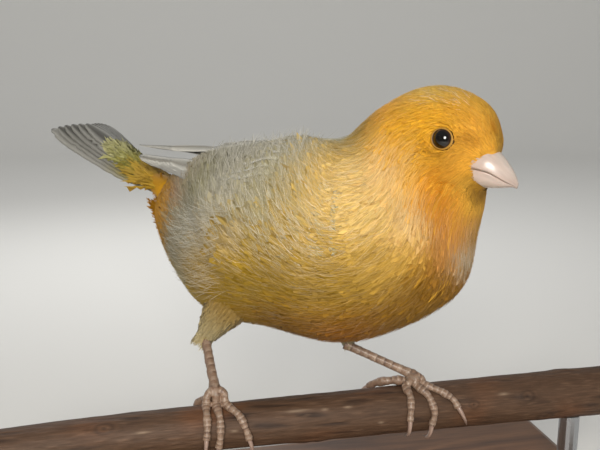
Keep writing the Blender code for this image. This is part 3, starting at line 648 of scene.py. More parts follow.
# Frayed feather outline: shaft points above and below, then barb tips and the clefts between them.
# Barb k leaves the shaft at its share of the length and ends a reach further on, as wide as the outline.
def featherTemplate(teeth, valley, reach):
    starts = np.concatenate([[0.0], 0.05 + 0.77 * np.arange(1, teeth + 1) / teeth])
    widening = lambda run: 0.4 + 0.6 * smoothStep(0, 0.35, run)
    outline = lambda run: widening(run) * np.sqrt(1 - 0.9 * smoothStep(0.35, 1.1, run))
    tips = np.clip(starts[:-1] + reach * (1 - 0.3 * starts[:-1]), 0, 0.99)
    clefts = np.clip(starts[1:] + 0.35 * reach, 0, 0.95)
    along, wide = np.empty(2 * teeth + 1), np.empty(2 * teeth + 1)
    along[0], wide[0] = 0.0, 0.22
    along[1::2], wide[1::2] = tips, outline(tips - 0.3 * reach)
    along[2::2], wide[2::2] = clefts, valley * outline(clefts)
    shaft = len(starts)
    run = np.concatenate([starts, starts, along, along, [1.0]])
    across = np.concatenate([np.zeros(2 * shaft), wide, -wide, [0.0]])
    level = np.concatenate([np.ones(shaft), -np.ones(shaft), np.zeros(4 * teeth + 3)])
    edge = np.concatenate([np.zeros(2 * shaft), np.ones(4 * teeth + 3)])
    left, right, end = 2 * shaft, 2 * shaft + 2 * teeth + 1, len(run) - 1
    k = np.arange(teeth)
    faces = []
    for base, turn in ((left, 1), (right, -1)):
        before, tip, cleft = base + 2 * k, base + 2 * k + 1, base + 2 * k + 2
        top = [(k, cleft, before), (before, cleft, tip), (k, k + 1, cleft)]
        low = [(shaft + k, before, cleft), (before, tip, cleft), (shaft + k, cleft, shaft + k + 1)]
        faces += [np.stack(corners, axis=1)[:, ::turn] for corners in top + low]
    lastLeft, lastRight = left + 2 * teeth, right + 2 * teeth
    ends = [(teeth, end, lastLeft), (teeth, lastRight, end), (shaft + teeth, lastLeft, end),
            (shaft + teeth, end, lastRight), (0, left, shaft), (0, shaft, right)]
    faces = np.concatenate(faces + [np.array(ends)])
    return {"run": run, "across": across, "level": level, "edge": edge, "faces": faces}


# Strand: a three-sided blade of the given steps that tapers to a point
def strandTemplate(steps):
    share = np.arange(steps) / steps
    run = np.append(np.repeat(share, 3), 1.0)
    across = np.append((np.array([1, -1, 0])[None] * (1 - 0.6 * share)[:, None]).ravel(), 0)
    level = np.append((np.array([-0.5, -0.5, 1])[None] * (1 - 0.5 * share)[:, None]).ravel(), 0)
    edge = np.append(np.zeros(3 * steps), 1)
    points = np.stack([run, across, level], axis=1)
    body = gridFaces(steps, 3)
    j = np.arange(3)
    last = 3 * steps - 3
    point = np.stack([last + j, last + (j + 1) % 3, np.full(3, 3 * steps)], axis=1)
    faces = np.concatenate([body[:, (0, 1, 2)], body[:, (0, 2, 3)], point, [(2, 1, 0)]])
    faces = turnedOut(points, [faces])[0]
    return {"run": run, "across": across, "level": level, "edge": edge, "faces": faces}


# Steps of the surface along both parameters, and its outward normal
def surfaceFrame(surface, a, b, height):
    step = 2e-3
    origin = surface(a, b, height)
    alongA = (surface(a + step, b, height) - origin) / step
    alongB = (surface(a, b + step, height) - origin) / step
    normal = unit(np.cross(alongA, alongB))
    outward = surface(a, b, height + 0.5) - origin
    return alongA, alongB, normal * np.sign((normal * outward).sum(axis=1, keepdims=True))


# Steps in both parameters that move one millimetre along a tangent way, from the surface's metric
def parameterSteps(alongA, alongB, way):
    aa, ab, bb = (alongA**2).sum(1), (alongA * alongB).sum(1), (alongB**2).sum(1)
    wayA, wayB = (alongA * way).sum(1), (alongB * way).sum(1)
    det = np.maximum(aa * bb - ab * ab, 1e-9)
    return (bb * wayA - ab * wayB) / det, (aa * wayB - ab * wayA) / det


# How feathers and strands are shaped. Shares of the length: cup, loose (barbs off the plane) and bend.
# The rest: ragged ends, thickness in mm, tilt and crown of the normals, and the power of the rise to the tip.
featherLook = {"cup": 0.05, "loose": 0.03, "bend": 0.1, "ragged": 0.05, "thick": 0.045, "tilt": 0.12,
               "crown": 0.16, "rise": 1.3}
strandLook = {"cup": 0.0, "loose": 0.0, "bend": 0.2, "ragged": 0.0, "thick": 0.05, "tilt": 0.15,
              "crown": 0.0, "rise": 0.6}


# Each feather follows the surface: its points are its root's parameters plus its length along the way,
# its half width across it, and a height that climbs from the sunk root to the tip. Its normals are the
# surface's, leaned by the feather's own tilt and a little by each barb, which gives the coat its softness.
def layFeathers(surface, feathers, look, template, seed):
    draw = np.random.default_rng(seed)
    a, b = feathers["a"], feathers["b"]
    count, size = len(a), len(template["run"])
    column = lambda key: np.broadcast_to(feathers[key], count)[:, None]
    length, sunk, lift = column("length"), column("sunk"), column("lift")
    alongA, alongB, normal = surfaceFrame(surface, a, b, np.zeros(count))
    way = unit(feathers["way"] - (feathers["way"] * normal).sum(1, keepdims=True) * normal)
    crosswise = np.cross(normal, way)
    lengthA, lengthB = parameterSteps(alongA, alongB, way)
    widthA, widthB = parameterSteps(alongA, alongB, crosswise)
    edge = template["edge"]
    frayed = draw.normal(0, look["ragged"], (count, size)) * (template["run"] > 0.02)
    run = template["run"] + edge * frayed
    across = template["across"] * (1 + edge * draw.normal(0, 0.14, (count, size)))
    bend = draw.normal(0, look["bend"], count)[:, None]
    along = run * length
    aside = across * column("half") + bend * run**2 * 0.3 * length
    height = mix(-sunk, lift, np.clip(run, 0, 1) ** look["rise"])
    height = height - look["cup"] * length * across**2 * run
    height = height + edge * draw.normal(0, 1, (count, size)) * look["loose"] * length * run
    height = height + template["level"] * look["thick"] * (1.1 - run)
    placeA = (a[:, None] + along * lengthA[:, None] + aside * widthA[:, None]).ravel()
    placeB = (b[:, None] + along * lengthB[:, None] + aside * widthB[:, None]).ravel()
    points = surface(placeA, placeB, height.ravel())
    owner = np.repeat(np.arange(count), size)
    under = surfaceFrame(surface, placeA, placeB, 0 * placeA)[2]
    tilt = draw.normal(0, look["tilt"], (count, 2))[owner]
    tilt = tilt + draw.normal(0, 0.5 * look["tilt"], (count * size, 2))
    tilt[:, 0] -= ((lift + sunk) / length)[owner, 0] * 0.6
    tilt[:, 1] += across.ravel() * look["crown"]
    return {
        "points": points, "owner": owner, "run": run.ravel(), "across": across.ravel(),
        "faces": (template["faces"][None] + (np.arange(count) * size)[:, None, None]).reshape(-1, 3),
        "normals": unit(under + tilt[:, :1] * way[owner] + tilt[:, 1:] * crosswise[owner]),
    }


# A coat piece of laid feathers. Its bake map gives each feather a patch 0.003 across at its root's place,
# which is (mapA, mapB) on the unwrap of the skin.
def addCoat(name, laid, colours, mapA, mapB, material, slot):
    owner = laid["owner"]
    places = [mapA[owner] + 0.0015 * laid["across"], mapB[owner] + 0.003 * (laid["run"] - 0.5)]
    maps = {"OFBake": np.stack(places, axis=1)}
    addPiece(name, laid["points"], [laid["faces"]], material, colours, maps, laid["normals"])
    print(name, len(mapA), "tufts,", len(laid["faces"]), "triangles")


# The body's unwrap: angle across, place along the body upward
def bodyMap(t, angle):
    return 0.02 + 0.96 * (angle / (2 * np.pi) + 0.5), 0.02 + 0.76 * t / bodyEnd


# Root colour mixed toward the tip's, with a lightness of its own for each feather and each barb, and painted
# shade that darkens each feather toward its root, where the next ones overlap it
def featherColours(base, tip, laid, seed, spread=0.05, streak=0.04, rootPaintedShade=0.9):
    draw = np.random.default_rng(seed)
    owner, run = laid["owner"], np.clip(laid["run"], 0, 1)
    own = draw.normal(1, spread, len(base))[owner]
    barb = draw.normal(1, streak, len(run))
    colour = mix(base[owner], tip[owner], (run**1.6)[:, None])
    # painted shade: darker toward the root, where the feathers overlap
    shade = mix(rootPaintedShade, 1.0, smoothStep(0.0, 0.5, run))
    return np.clip(colour * (own * barb * shade)[:, None], 0.004, 0.96)


coat = {
    # by place along the body: distance between feathers and length in mm, and how far pale tips whiten
    "at": (0, 1.5, 4, 6.3, 7.5, 8.5, 9.5, 11, 13, 15),
    "spacing": (1.2, 1.2, 1.2, 1.1, 0.98, 0.8, 0.64, 0.55, 0.46, 0.42),
    "length": (7.5, 9.0, 9.0, 8.0, 6.6, 5.2, 4.2, 3.2, 2.2, 1.6),
    "frost": (0.02, 0.05, 0.22, 0.16, 0.06, 0.03, 0.02, 0.02, 0.01, 0.01),
    "half": 0.24,  # half width as a share of the length
    "eyeClear": 2.3,  # no feather roots this near the middle of the eye
    "teeth": (5, 0.42, 0.34),
    "strands": 4.4,  # strands for each feather
    "strandHalf": 0.075,
}
eye = {
    "side": 6.5, "radius": 2.4,  # the ball, in the head's frame
    "lidSide": 7.9, "lidRing": 2.06, "lid": 0.22,
    "socketSide": 8.1,  # the eye's middle at the face, which the feathers part round
    "partedTo": 9.0,
}


# Roots in staggered rings along the body: rings a spacing apart, points round each ring a spacing apart
def rootRows(first, last, spacingAt, seed):
    draw = np.random.default_rng(seed)
    fine = np.linspace(first, last, 600)
    lines = np.linspace(0, 2 * np.pi, 24, endpoint=False)
    meridians = np.stack([bodyAt(fine, np.full(600, line)) for line in lines])
    step = np.linalg.norm(np.diff(meridians, axis=1), axis=2).mean(axis=0)
    girth = np.linalg.norm(np.diff(np.concatenate([meridians, meridians[:1]]), axis=0), axis=2).sum(axis=0)
    rank = np.concatenate([[0], np.cumsum(step / spacingAt(fine[:-1]))])
    places = np.interp(np.arange(0.3, rank[-1], 1.0), rank, fine)
    counts = np.maximum((np.interp(places, fine, girth) / spacingAt(places)).astype(int), 3)
    t, around = np.repeat(places, counts), np.repeat(counts, counts)
    index = np.arange(len(t)) - np.repeat(np.cumsum(counts) - counts, counts)
    offset = np.repeat(draw.uniform(0, 1, len(counts)), counts)
    angle = (index + offset) / around * 2 * np.pi - np.pi
    t = t + draw.normal(0, 0.3, len(t)) * np.repeat(np.gradient(places), counts)
    return np.clip(t, first, last), angle + draw.normal(0, 0.3, len(t)) * 2 * np.pi / around


# How far the coat's lie turns from tailward up toward the back, in degrees: long flank feathers sweep up
# over the near wing, and less over the far one.
def upwardTurn(t, angle):
    around = np.abs(np.degrees(angle))
    near = np.interp(around, (0, 12, 30, 60, 85, 105, 130, 180), (0, 25, 55, 62, 45, 24, 8, 0))
    far = np.interp(around, (0, 70, 100, 130, 180), (0, 12, 16, 5, 0))
    turn = np.where(angle < 0, near, far)
    return np.radians(turn * (1 - smoothStep(5.6, 7.0, t)) * smoothStep(0.8, 2.4, t))


# Lie of the coat: toward the tail, turned up toward the back, and parted round the eye
def coatWay(t, angle, upward):
    alongT, alongAngle, normal = surfaceFrame(bodyAt, t, angle, np.zeros(len(t)))
    backward = -np.sign(angle)[:, None] * unit(alongAngle)
    way = np.sin(upward)[:, None] * backward - np.cos(upward)[:, None] * unit(alongT)
    points = bodyAt(t, angle)
    for centre in eyeCentres():
        away = points - centre
        flat = away - (away * normal).sum(1, keepdims=True) * normal
        distance = np.maximum(np.linalg.norm(flat, axis=1, keepdims=True), coat["eyeClear"])
        outward = unit(flat)
        near = (coat["eyeClear"] / distance) ** 2
        near = near * (np.linalg.norm(away, axis=1, keepdims=True) < eye["partedTo"])
        way = way + near * (way - 2 * (way * outward).sum(1, keepdims=True) * outward)
    return unit(way)


def eyeCentres():
    return [fromHead((0, side * eye["socketSide"], 0)) for side in (-1, 1)]


def eyeDistance(points):
    return np.min([np.linalg.norm(points - centre, axis=1) for centre in eyeCentres()], axis=0)


# Which roots grow: none in the eyes, the bill, or under the far wing and the near wing's tip
def grows(t, angle, clear):
    points = bodyAt(t, angle)
    head = toHead(points)
    inBill = (head[:, 0] > 4.2) & (np.hypot(head[:, 1] / 3.8, (head[:, 2] + 3.1) / 4.6) < 1)
    return ~inBill & (wingCover(t, angle)[1] < 0.6) & (eyeDistance(points) > clear)


# How far pale tips whiten the plumage: most over the back and flanks, least on face and belly
def frostAt(t, angle):
    below = smoothStep(82, 118, np.abs(np.degrees(angle)))
    return np.interp(t, coat["at"], coat["frost"]) * (1 - 0.75 * below)


# The part of each array that a region takes
def chosenOf(values, chosen):
    return {key: value[chosen] for key, value in values.items()}


def layCoat():
    spacingAt = lambda t: np.interp(t, coat["at"], coat["spacing"])
    t, angle = rootRows(0.02, bodyEnd - 0.02, spacingAt, 11)
    kept = grows(t, angle, coat["eyeClear"])
    t, angle = t[kept], angle[kept]
    draw = np.random.default_rng(12)
    around = np.abs(np.degrees(angle))
    fromEye = eyeDistance(bodyAt(t, angle))
    length = np.interp(t, coat["at"], coat["length"]) * draw.uniform(0.85, 1.15, len(t))
    length = length * mix(0.4, 1.0, smoothStep(coat["eyeClear"], 6.0, fromEye))
    flank = (angle < 0) * smoothStep(25, 45, around) * (1 - smoothStep(95, 120, around))
    length = length * (1 + 0.35 * flank * smoothStep(1.5, 3, t) * (1 - smoothStep(5.4, 6.6, t)))
    way = coatWay(t, angle, upwardTurn(t, angle) + draw.normal(0, 0.10, len(t)))
    depth = np.interp(t, form["depthAt"], form["depth"])
    feathers = {
        "a": t, "b": angle, "way": way, "length": length, "half": coat["half"] * length,
        "sunk": depth + 0.15, "lift": depth * draw.uniform(-0.25, 0.2, len(t)),
    }
    centre = bodyAt(t, angle) + way * (0.5 * length)[:, None]
    base = markings(t, angle, centre)
    paleness = frostAt(t, angle) * (0.15 + smoothStep(0.1, 1.0, ripple(centre, 9.0, 8)))
    tip = mix(base, linearColour(plumage["frostTip"]), paleness[:, None])
    mapA, mapB = bodyMap(t, angle)
    hind = t <= 5.9
    regions = {
        "coatHead": t > 9.2, "coatNeck": (t > 7.2) & (t <= 9.2), "coatShoulders": (t > 5.9) & (t <= 7.2),
        "coatBack": hind & (around < 75), "coatFlanks": hind & (around >= 75) & (around < 125),
        "coatBelly": hind & (around >= 125),
    }
    material = featherMaterial("contour feather keratin", 0.04)
    template = featherTemplate(*coat["teeth"])
    for number, (name, chosen) in enumerate(regions.items()):
        laid = layFeathers(outerAt, chosenOf(feathers, chosen), featherLook, template, 21 + number)
        colours = featherColours(base[chosen], tip[chosen], laid, 41 + number)
        addCoat(name, laid, colours, mapA[chosen], mapB[chosen], material, "plumage_yellow")
    return t, angle, length, depth


# Fine strands over the feathers, from the same roots moved a little
def layStrands(t, angle, length, depth):
    draw = np.random.default_rng(31)
    copies = int(round(coat["strands"] * len(t)))
    pick = draw.integers(0, len(t), copies)
    t = np.clip(t[pick] + draw.normal(0, 0.06, copies), 0.02, bodyEnd - 0.02)
    angle = angle[pick] + draw.normal(0, 0.03, copies)
    length, depth = length[pick] * draw.uniform(0.55, 0.95, copies), depth[pick]
    kept = grows(t, angle, coat["eyeClear"] + 0.1)
    t, angle, length, depth = t[kept], angle[kept], length[kept], depth[kept]
    count = len(t)
    way = coatWay(t, angle, upwardTurn(t, angle) + draw.normal(0, 0.2, count))
    strands = {
        "a": t, "b": angle, "way": way, "length": length,
        "half": coat["strandHalf"] * mix(0.6, 1.0, smoothStep(2, 7, length)),
        "sunk": 0.3 * depth, "lift": depth * draw.uniform(0.0, 0.55, count),
    }
    base = markings(t, angle, bodyAt(t, angle) + way * (0.5 * length)[:, None])
    whitened = 2 * draw.uniform(0, 1, count) ** 2
    whitened = frostAt(t, angle) * (whitened + 2 * (draw.uniform(0, 1, count) > 0.95))
    pale = mix(base, linearColour(plumage["strandTip"]), np.minimum(whitened, 0.6)[:, None])
    mapA, mapB = bodyMap(t, angle)
    material = featherMaterial("loose barb keratin", 0.04)
    template = strandTemplate(2)
    hind, back = t <= 6.9, np.abs(np.degrees(angle)) < 85
    regions = {"strandsFront": ~hind, "strandsBack": hind & back, "strandsBelly": hind & ~back}
    for name, chosen in regions.items():
        laid = layFeathers(outerAt, chosenOf(strands, chosen), strandLook, template, 33)
        colours = featherColours(pale[chosen], pale[chosen], laid, 34, 0.10)
        addCoat(name, laid, colours, mapA[chosen], mapB[chosen], material, "plumage_yellow")


layStrands(*layCoat())


# Loose wisps that stand out of the coat

wisps = {
    # count, place along the body, degrees from the back, length, lift, turn toward the back, whiteness
    "back": (420, (2.4, 4.6), (-46, 0), (6, 11), (0.6, 3.6), (40, 100), 0.6),
    "saddle": (1100, (2.0, 5.3), (-78, -22), (7, 12), (0.2, 1.1), (45, 80), 0.45),
    "rear": (900, (2.5, 3.7), (-122, -66), (7, 12), (0.3, 1.8), (-30, 25), 0.45),
    "farRear": (500, (2.5, 3.7), (66, 122), (6, 10), (0.3, 1.2), (-30, 10), 0.6),
    "keel": (420, (3.4, 6.2), (145, 215), (3, 5.5), (0.2, 1.0), (-20, 20), 0.25),
    "crown": (320, (9.2, 11.6), (-50, 40), (2, 3.4), (0.2, 0.8), (-25, 25), 0.5),
    "throat": (500, (7.7, 9.0), (120, 240), (2.4, 4.2), (0.3, 0.9), (-20, 20), 0.1),
}


def layWisps():
    draw = np.random.default_rng(35)
    spread = lambda column: np.concatenate([draw.uniform(*row[column], row[0]) for row in wisps.values()])
    t, angle = spread(1), np.radians(spread(2))
    angle = np.where(angle > np.pi, angle - 2 * np.pi, angle)
    length, lift, turn = spread(3), spread(4), np.radians(spread(5))
    white = np.concatenate([np.full(row[0], row[6]) for row in wisps.values()]) * draw.uniform(0, 1, len(t))
    strands = {
        "a": t, "b": angle, "way": coatWay(t, angle, turn), "length": length,
        "half": 0.07, "sunk": 0.5, "lift": lift,
    }
    laid = layFeathers(outerAt, strands, {**strandLook, "rise": 1.4, "bend": 0.35}, strandTemplate(4), 36)
    base = mix(markings(t, angle, bodyAt(t, angle)), linearColour(plumage["wisp"]), white[:, None])
    colours = featherColours(base, base, laid, 37, 0.08, 0.03)
    addCoat("looseWisps", laid, colours, *bodyMap(t, angle), featherMaterial("loose wisp keratin", 0.04),
            "plumage_pale")


layWisps()


# Feathered thighs

thighCoat = {
    "count": 1500, "length": {"right": 6.4, "left": 3.0}, "half": 0.075, "lift": (0.0, 0.5), "top": "a07c28",
    "colour": {"right": "ac965a", "left": "b0a88e"}, "tip": "c4b690",
    "look": {**featherLook, "loose": 0.02, "crown": 0.15},
}


def layThighs():
    material = featherMaterial("downy thigh feather", 0.2)
    template = featherTemplate(5, 0.35, 0.42)
    count = thighCoat["count"]
    for number, side in enumerate(legs):
        draw = np.random.default_rng(51 + number)
        surface = thighAt(side)
        run = draw.uniform(0.0, 0.93, count)
        turn = draw.uniform(-np.pi, np.pi, count)
        step = surface(run + 0.01, turn) - surface(run, turn)
        length = thighCoat["length"][side] * draw.uniform(0.75, 1.15, count) * mix(1.0, 0.62, run)
        feathers = {
            "a": run, "b": turn, "way": unit(step) + draw.normal(0, 0.16, (count, 3)), "length": length,
            "half": thighCoat["half"] * length, "sunk": 0.6,
            "lift": draw.uniform(*thighCoat["lift"], count) * mix(1, 0.4, run),
        }
        laid = layFeathers(surface, feathers, thighCoat["look"], template, 53)
        low = smoothStep(0.1, 0.75, run)[:, None]
        base = mix(linearColour(thighCoat["top"]), linearColour(thighCoat["colour"][side]), low)
        tip = mix(base, linearColour(thighCoat["tip"]), 0.3 + 0.7 * low)
        mapA, mapB = 0.04 + 0.44 * number + 0.4 * (turn / (2 * np.pi) + 0.5), 0.82 + 0.14 * run
        colours = featherColours(base, tip, laid, 54)
        addCoat("coatThigh" + side.capitalize(), laid, colours, mapA, mapB, material, "plumage_pale")


layThighs()


# Vanes of wings and tail: a closed ring of points at each station, a ridge for the shaft, a nicked edge

vaneRing = {
    "across": np.array([-1, -0.7, -0.3, 0.12, 0.22, 0.32, 0.66, 1, 0.5, 0.2, -0.4]),
    "level": np.array([0, 0.7, 0.9, 1.0, 2.2, 1.0, 0.7, 0, -0.7, -1.2, -0.8]),
    "shaft": 0.22,  # where the shaft runs, from -1 to 1 across the vane
}


# Share of a vane's full width: narrow quill, full by a third, rounded tip
def vaneWidth(run, shoulder):
    taper = (np.clip(run - shoulder, 0, 1) / (1.005 - shoulder)) ** 2.4
    return (0.32 + 0.68 * smoothStep(0, 0.32, run)) * np.sqrt(np.clip(1 - taper, 0, 1))


# Stations along each vane of one kind, and the distance across it of each point of its rings. Small nicks
# and a few deep ones fray the edge.
def vaneGrid(count, stations, half, seed, shoulder=0.72):
    draw = np.random.default_rng(seed)
    run = np.linspace(0, 1, stations) ** 0.92
    nick = 1 - np.clip(draw.normal(0, 0.03, (count, stations)), -0.02, 0.08)
    nick = nick - 0.22 * (draw.uniform(0, 1, (count, stations)) > 0.955) * (run > 0.3)
    wide = vaneWidth(run, shoulder)[None] * nick * half[:, None]
    return run, vaneRing["across"][None, None] * wide[:, :, None]


# Height of a vane's ring points over its middle surface: half the thickness, thinner toward the tip
def vaneLevel(thick, run):
    return vaneRing["level"] * thick / 2 * (1 - 0.5 * run)[:, None]


# The grids of several kinds of vanes as one piece
def vanePiece(name, grids, material, replaces):
    pick = lambda key: [part for grid in grids for part in grid[key]]
    joined = lambda key: np.concatenate([withEnds(part) for part in pick(key)])
    points, faces = joinTubes(pick("rings"))
    maps = {"OFBake": joined("bake"), "vane": joined("places")}
    addPiece(name, points, faces, material, joined("tints"), maps, replaces=replaces)
    print(name, len(pick("rings")), "vanes,", 2 * len(faces[0]) + len(faces[1]), "triangles")


# Vane colour: inner web, paler outer margin, a shaft line, a tip, and a flush of yellow near the root
def vaneTints(look, run, count, seed):
    draw = np.random.default_rng(seed)
    across = vaneRing["across"]
    tone = lambda key: linearColour(look[key])
    along, aside = run[None, :, None, None], across[None, None, :, None]
    shape = (count, len(run), len(across), 1)
    colour = np.broadcast_to(tone("web"), (*shape[:3], 3))
    colour = mix(colour, tone("tip"), 0.8 * smoothStep(0.75, 1.0, along))
    colour = mix(colour, tone("margin"), 0.85 * smoothStep(0.45, 0.95, np.abs(aside)))
    colour = mix(colour, tone("shaft"), 0.8 * (np.abs(aside - vaneRing["shaft"]) < 0.12))
    reach = look["flushEnd"]
    colour = mix(colour, tone("flush"), look["flushShare"] * (1 - smoothStep(0.5 * reach, reach, along)))
    own = draw.normal(1, 0.05, (count, 1, 1, 1)) * draw.normal(1, 0.025, shape)
    return np.clip(colour * own, 0.01, 0.95)


wings = {
    # count, root x, tip x, root share, tip share, half width, lift, in the trunk's frame
    "rows": {
        "primary": (9, (-2.0, 4.0), (-44.0, -55.5), (0.62, 0.88), (0.50, 0.86), (2.6, 2.1), (0.5, 0.5)),
        "secondary": (9, (4.0, 4.0), (-26.0, -37.0), (0.22, 0.74), (0.30, 0.68), (3.3, 3.0), (0.75, 0.65)),
        "tertial": (4, (2.0, 4.0), (-15.0, -28.0), (0.06, 0.26), (0.10, 0.38), (3.4, 3.6), (1.9, 1.4)),
        "primaryCovert": (6, (5.0, 7.0), (-12.0, -9.0), (0.74, 0.95), (0.74, 0.95), (2.1, 1.8), (1.7, 1.6)),
        "greaterCovert": (12, (9.0, 11.0), (-8.0, -3.0), (0.10, 0.90), (0.10, 0.91), (2.6, 2.3), (2.4, 2.2)),
        "medianCovert": (11, (14.0, 15.5), (2.0, 4.5), (0.12, 0.86), (0.10, 0.89), (2.3, 2.1), (2.8, 2.6)),
        "lesserCovert": (10, (17.0, 17.6), (8.0, 10.0), (0.10, 0.88), (0.08, 0.90), (2.1, 1.9), (3.1, 2.9)),
    },
    "flightRows": ("primary", "secondary", "tertial"),
    # share of the lift for the right wing (-1), whose coverts lie flat under the flank feathers, and the left
    "flightLift": {-1: 0.3, 1: 0.5},
    "covertLift": {-1: 0.2, 1: 0.6},
    "armThick": {-1: 0.5, 1: 1.1}, "armFront": 17.4, "armBack": -19.0, "armColour": "cfc7a4",
    "thick": 0.17, "tilt": {-1: 0.2, 1: 0.45}, "stations": {"flight": 24, "covert": 14},
    "flight": {"web": "b0aea4", "margin": "f0eee6", "shaft": "8d887c", "tip": "c9c5b8",
               "flush": "e3dca8", "flushShare": 0.5, "flushEnd": 0.6},
    "covert": {"web": "cfc9ae", "margin": "f1ead0", "shaft": "b9b290", "tip": "efe9d2",
               "flush": "d9cf92", "flushShare": 0.4, "flushEnd": 0.6},
    # barb lines: spacing in mm, twice the real one so that they show, slant, bump and how dark they go
    "barbs": {"spacing": 0.36, "slant": 1.15, "strength": 0.5, "dark": 0.84},
}


# The wing's depth round its ellipse at each x, in mm
def wingDepth(side, x):
    share = np.linspace(0, 1, 9)[:, None] * np.ones_like(x)
    rows = wingAt(side, np.tile(x, (9, 1)), share, np.zeros((9, len(x))))
    return np.linalg.norm(np.diff(rows, axis=0), axis=2).sum(axis=0)


# One row of vanes: each runs from its root's x and share of the depth to its tip's, a little tilted so that
# it overlaps the next
def wingRow(side, kind, number):
    count, root, tip, rootShare, tipShare, half, lift = wings["rows"][kind]
    sort = "flight" if kind in wings["flightRows"] else "covert"
    part = np.linspace(0, 1, count)
    run, across = vaneGrid(count, wings["stations"][sort], mix(*half, part), 61 + number)
    between = lambda first, last: mix(mix(*first, part)[:, None], mix(*last, part)[:, None], run)
    x = between(root, tip) + wingForm["drawnIn"][side] * run**2
    middle = between(rootShare, tipShare)
    share = middle[:, :, None] + across / wingDepth(side, x.ravel()).reshape(*x.shape, 1)
    slope = wings["tilt"][side] * np.minimum(0.3 + 2 * run, 1.0)
    rise = mix(*lift, part)[:, None] * np.minimum(0.35 + 2.2 * run, 1.0) * wings[sort + "Lift"][side]
    height = rise[:, :, None] + slope[None, :, None] * across + vaneLevel(wings["thick"], run)
    length = np.abs(mix(*tip, part) - mix(*root, part))
    along = np.broadcast_to((run * length[:, None])[:, :, None], share.shape)
    centre = [0.06 + 0.42 * (side > 0) + 0.3 * middle[:, 0], 0.84 + 0.10 * (mix(*root, part) + 4) / 24]
    bake = np.stack(centre, axis=1)[:, None, None] + np.stack([across * 0.0008, 0.012 * along / 50], axis=-1)
    return {
        "rings": wingAt(side, np.broadcast_to(x[:, :, None], share.shape), share, height),
        "places": np.stack([along, across], axis=-1), "bake": bake,
        "tints": vaneTints(wings[sort], run, count, 71 + number),
    }


# The wing's arm under its feathers: a closed plate on the wing's form that thins toward every edge
def wingArm(side):
    share = np.concatenate([np.linspace(0.04, 0.96, 14), np.linspace(0.96, 0.04, 14)])
    outer = np.repeat([1.0, 0.0], 14)
    x, run = np.linspace(wings["armFront"], wings["armBack"], 24), np.linspace(0, 1, 24)
    along = 0.12 + 0.88 * np.clip(np.minimum(3 * run + 0.1, 2.5 * (1 - run)), 0, 1)
    thick = wings["armThick"][side] * along[:, None] * np.sin(np.pi * np.clip(share, 0.05, 0.95)) ** 0.5
    x, share = x[:, None] + 0 * thick, share + 0 * thick
    back = wings["armFront"] - x
    bake = np.stack([0.06 + 0.42 * (side > 0) + 0.3 * share, 0.84 + 0.1 * back / 40], axis=-1)
    rings = wingAt(side, x, share, outer * thick - 0.1)
    tints = np.broadcast_to(linearColour(wings["armColour"]), rings.shape)
    places = np.stack([back, share * 30], axis=-1)
    return {"rings": [rings], "places": [places], "bake": [bake], "tints": [tints]}


def makeWings():
    material = featherMaterial("flight feather vane", 0.1, wings["barbs"])
    for name, side in sides.items():
        grids = [wingArm(side)] + [wingRow(side, kind, number) for number, kind in enumerate(wings["rows"])]
        vanePiece("wing" + name.capitalize(), grids, material, ["wing_" + name])


makeWings()


# Tail: six pairs of feathers, stacked outward and downward over a short stump

tail = {
    "root": (-42.9, 0.0, 6.9), "turn": (-16.5, 15.5, 6.0),  # in the trunk's frame
    "length": 48.5, "longer": 3.0, "notch": 4.5,  # the right side is longer; the middle is notched
    "pairs": 6, "spread": (1.3, 9.1), "half": 3.0, "step": 0.62, "arch": 0.035,
    "thick": 0.2, "stations": 30, "shoulder": 0.58,
    "stump": (3.6, 2.8, 9.0), "stumpColour": "b8861c",
    "look": {"web": "5a5952", "margin": "c8c6be", "shaft": "46433b", "tip": "72716a",
             "flush": "a0923c", "flushShare": 0.75, "flushEnd": 0.5},
}
tailTurn = turnMatrix(tail["turn"])


# The tail's frame: distance back from the rump, to the left, and up, over an arched fan
def tailAt(back, across, height):
    arch = -tail["arch"] * across**2 / (1 + 0.02 * back)
    return fromTrunk(np.stack([-back, across, height + arch], axis=-1) @ tailTurn.T + tail["root"])


def tailVanes():
    pair = np.repeat(np.arange(tail["pairs"]), 2)
    side = np.tile([-1, 1], tail["pairs"])
    outward = (pair + 0.5) / tail["pairs"]
    length = tail["length"] - tail["notch"] * (1 - outward) ** 1.5 + tail["longer"] * (side < 0) * outward
    drop = (pair + np.where(side > 0, 0.5, 0.0)) * tail["step"]
    count = len(pair)
    run, across = vaneGrid(count, tail["stations"], np.full(count, tail["half"]), 81, tail["shoulder"])
    across = across * side[:, None, None]
    back = np.broadcast_to(mix(3.0, length[:, None], run)[:, :, None], across.shape)
    root, tip = ((side * spread * outward)[:, None] for spread in tail["spread"])
    rise = mix((1.5 - drop)[:, None], (0.9 - 0.62 * drop)[:, None], run)
    height = rise[:, :, None] + vaneLevel(tail["thick"], run) - 0.02 * across**2
    centre = np.stack([0.5 + side * (0.01 + 0.012 * pair), np.full(count, 0.97)], axis=1)
    tints = vaneTints(tail["look"], run, count, 82)
    outermost = outward > 0.8
    tints[outermost] = mix(tints[outermost], linearColour(tail["look"]["margin"]), 0.45)
    return {
        "rings": tailAt(back, mix(root, tip, run)[:, :, None] + across, height),
        "places": np.stack([back, across], axis=-1), "tints": tints,
        "bake": centre[:, None, None] + np.stack([across * 0.0008, 0.02 * back / 50 - 0.01], axis=-1),
    }


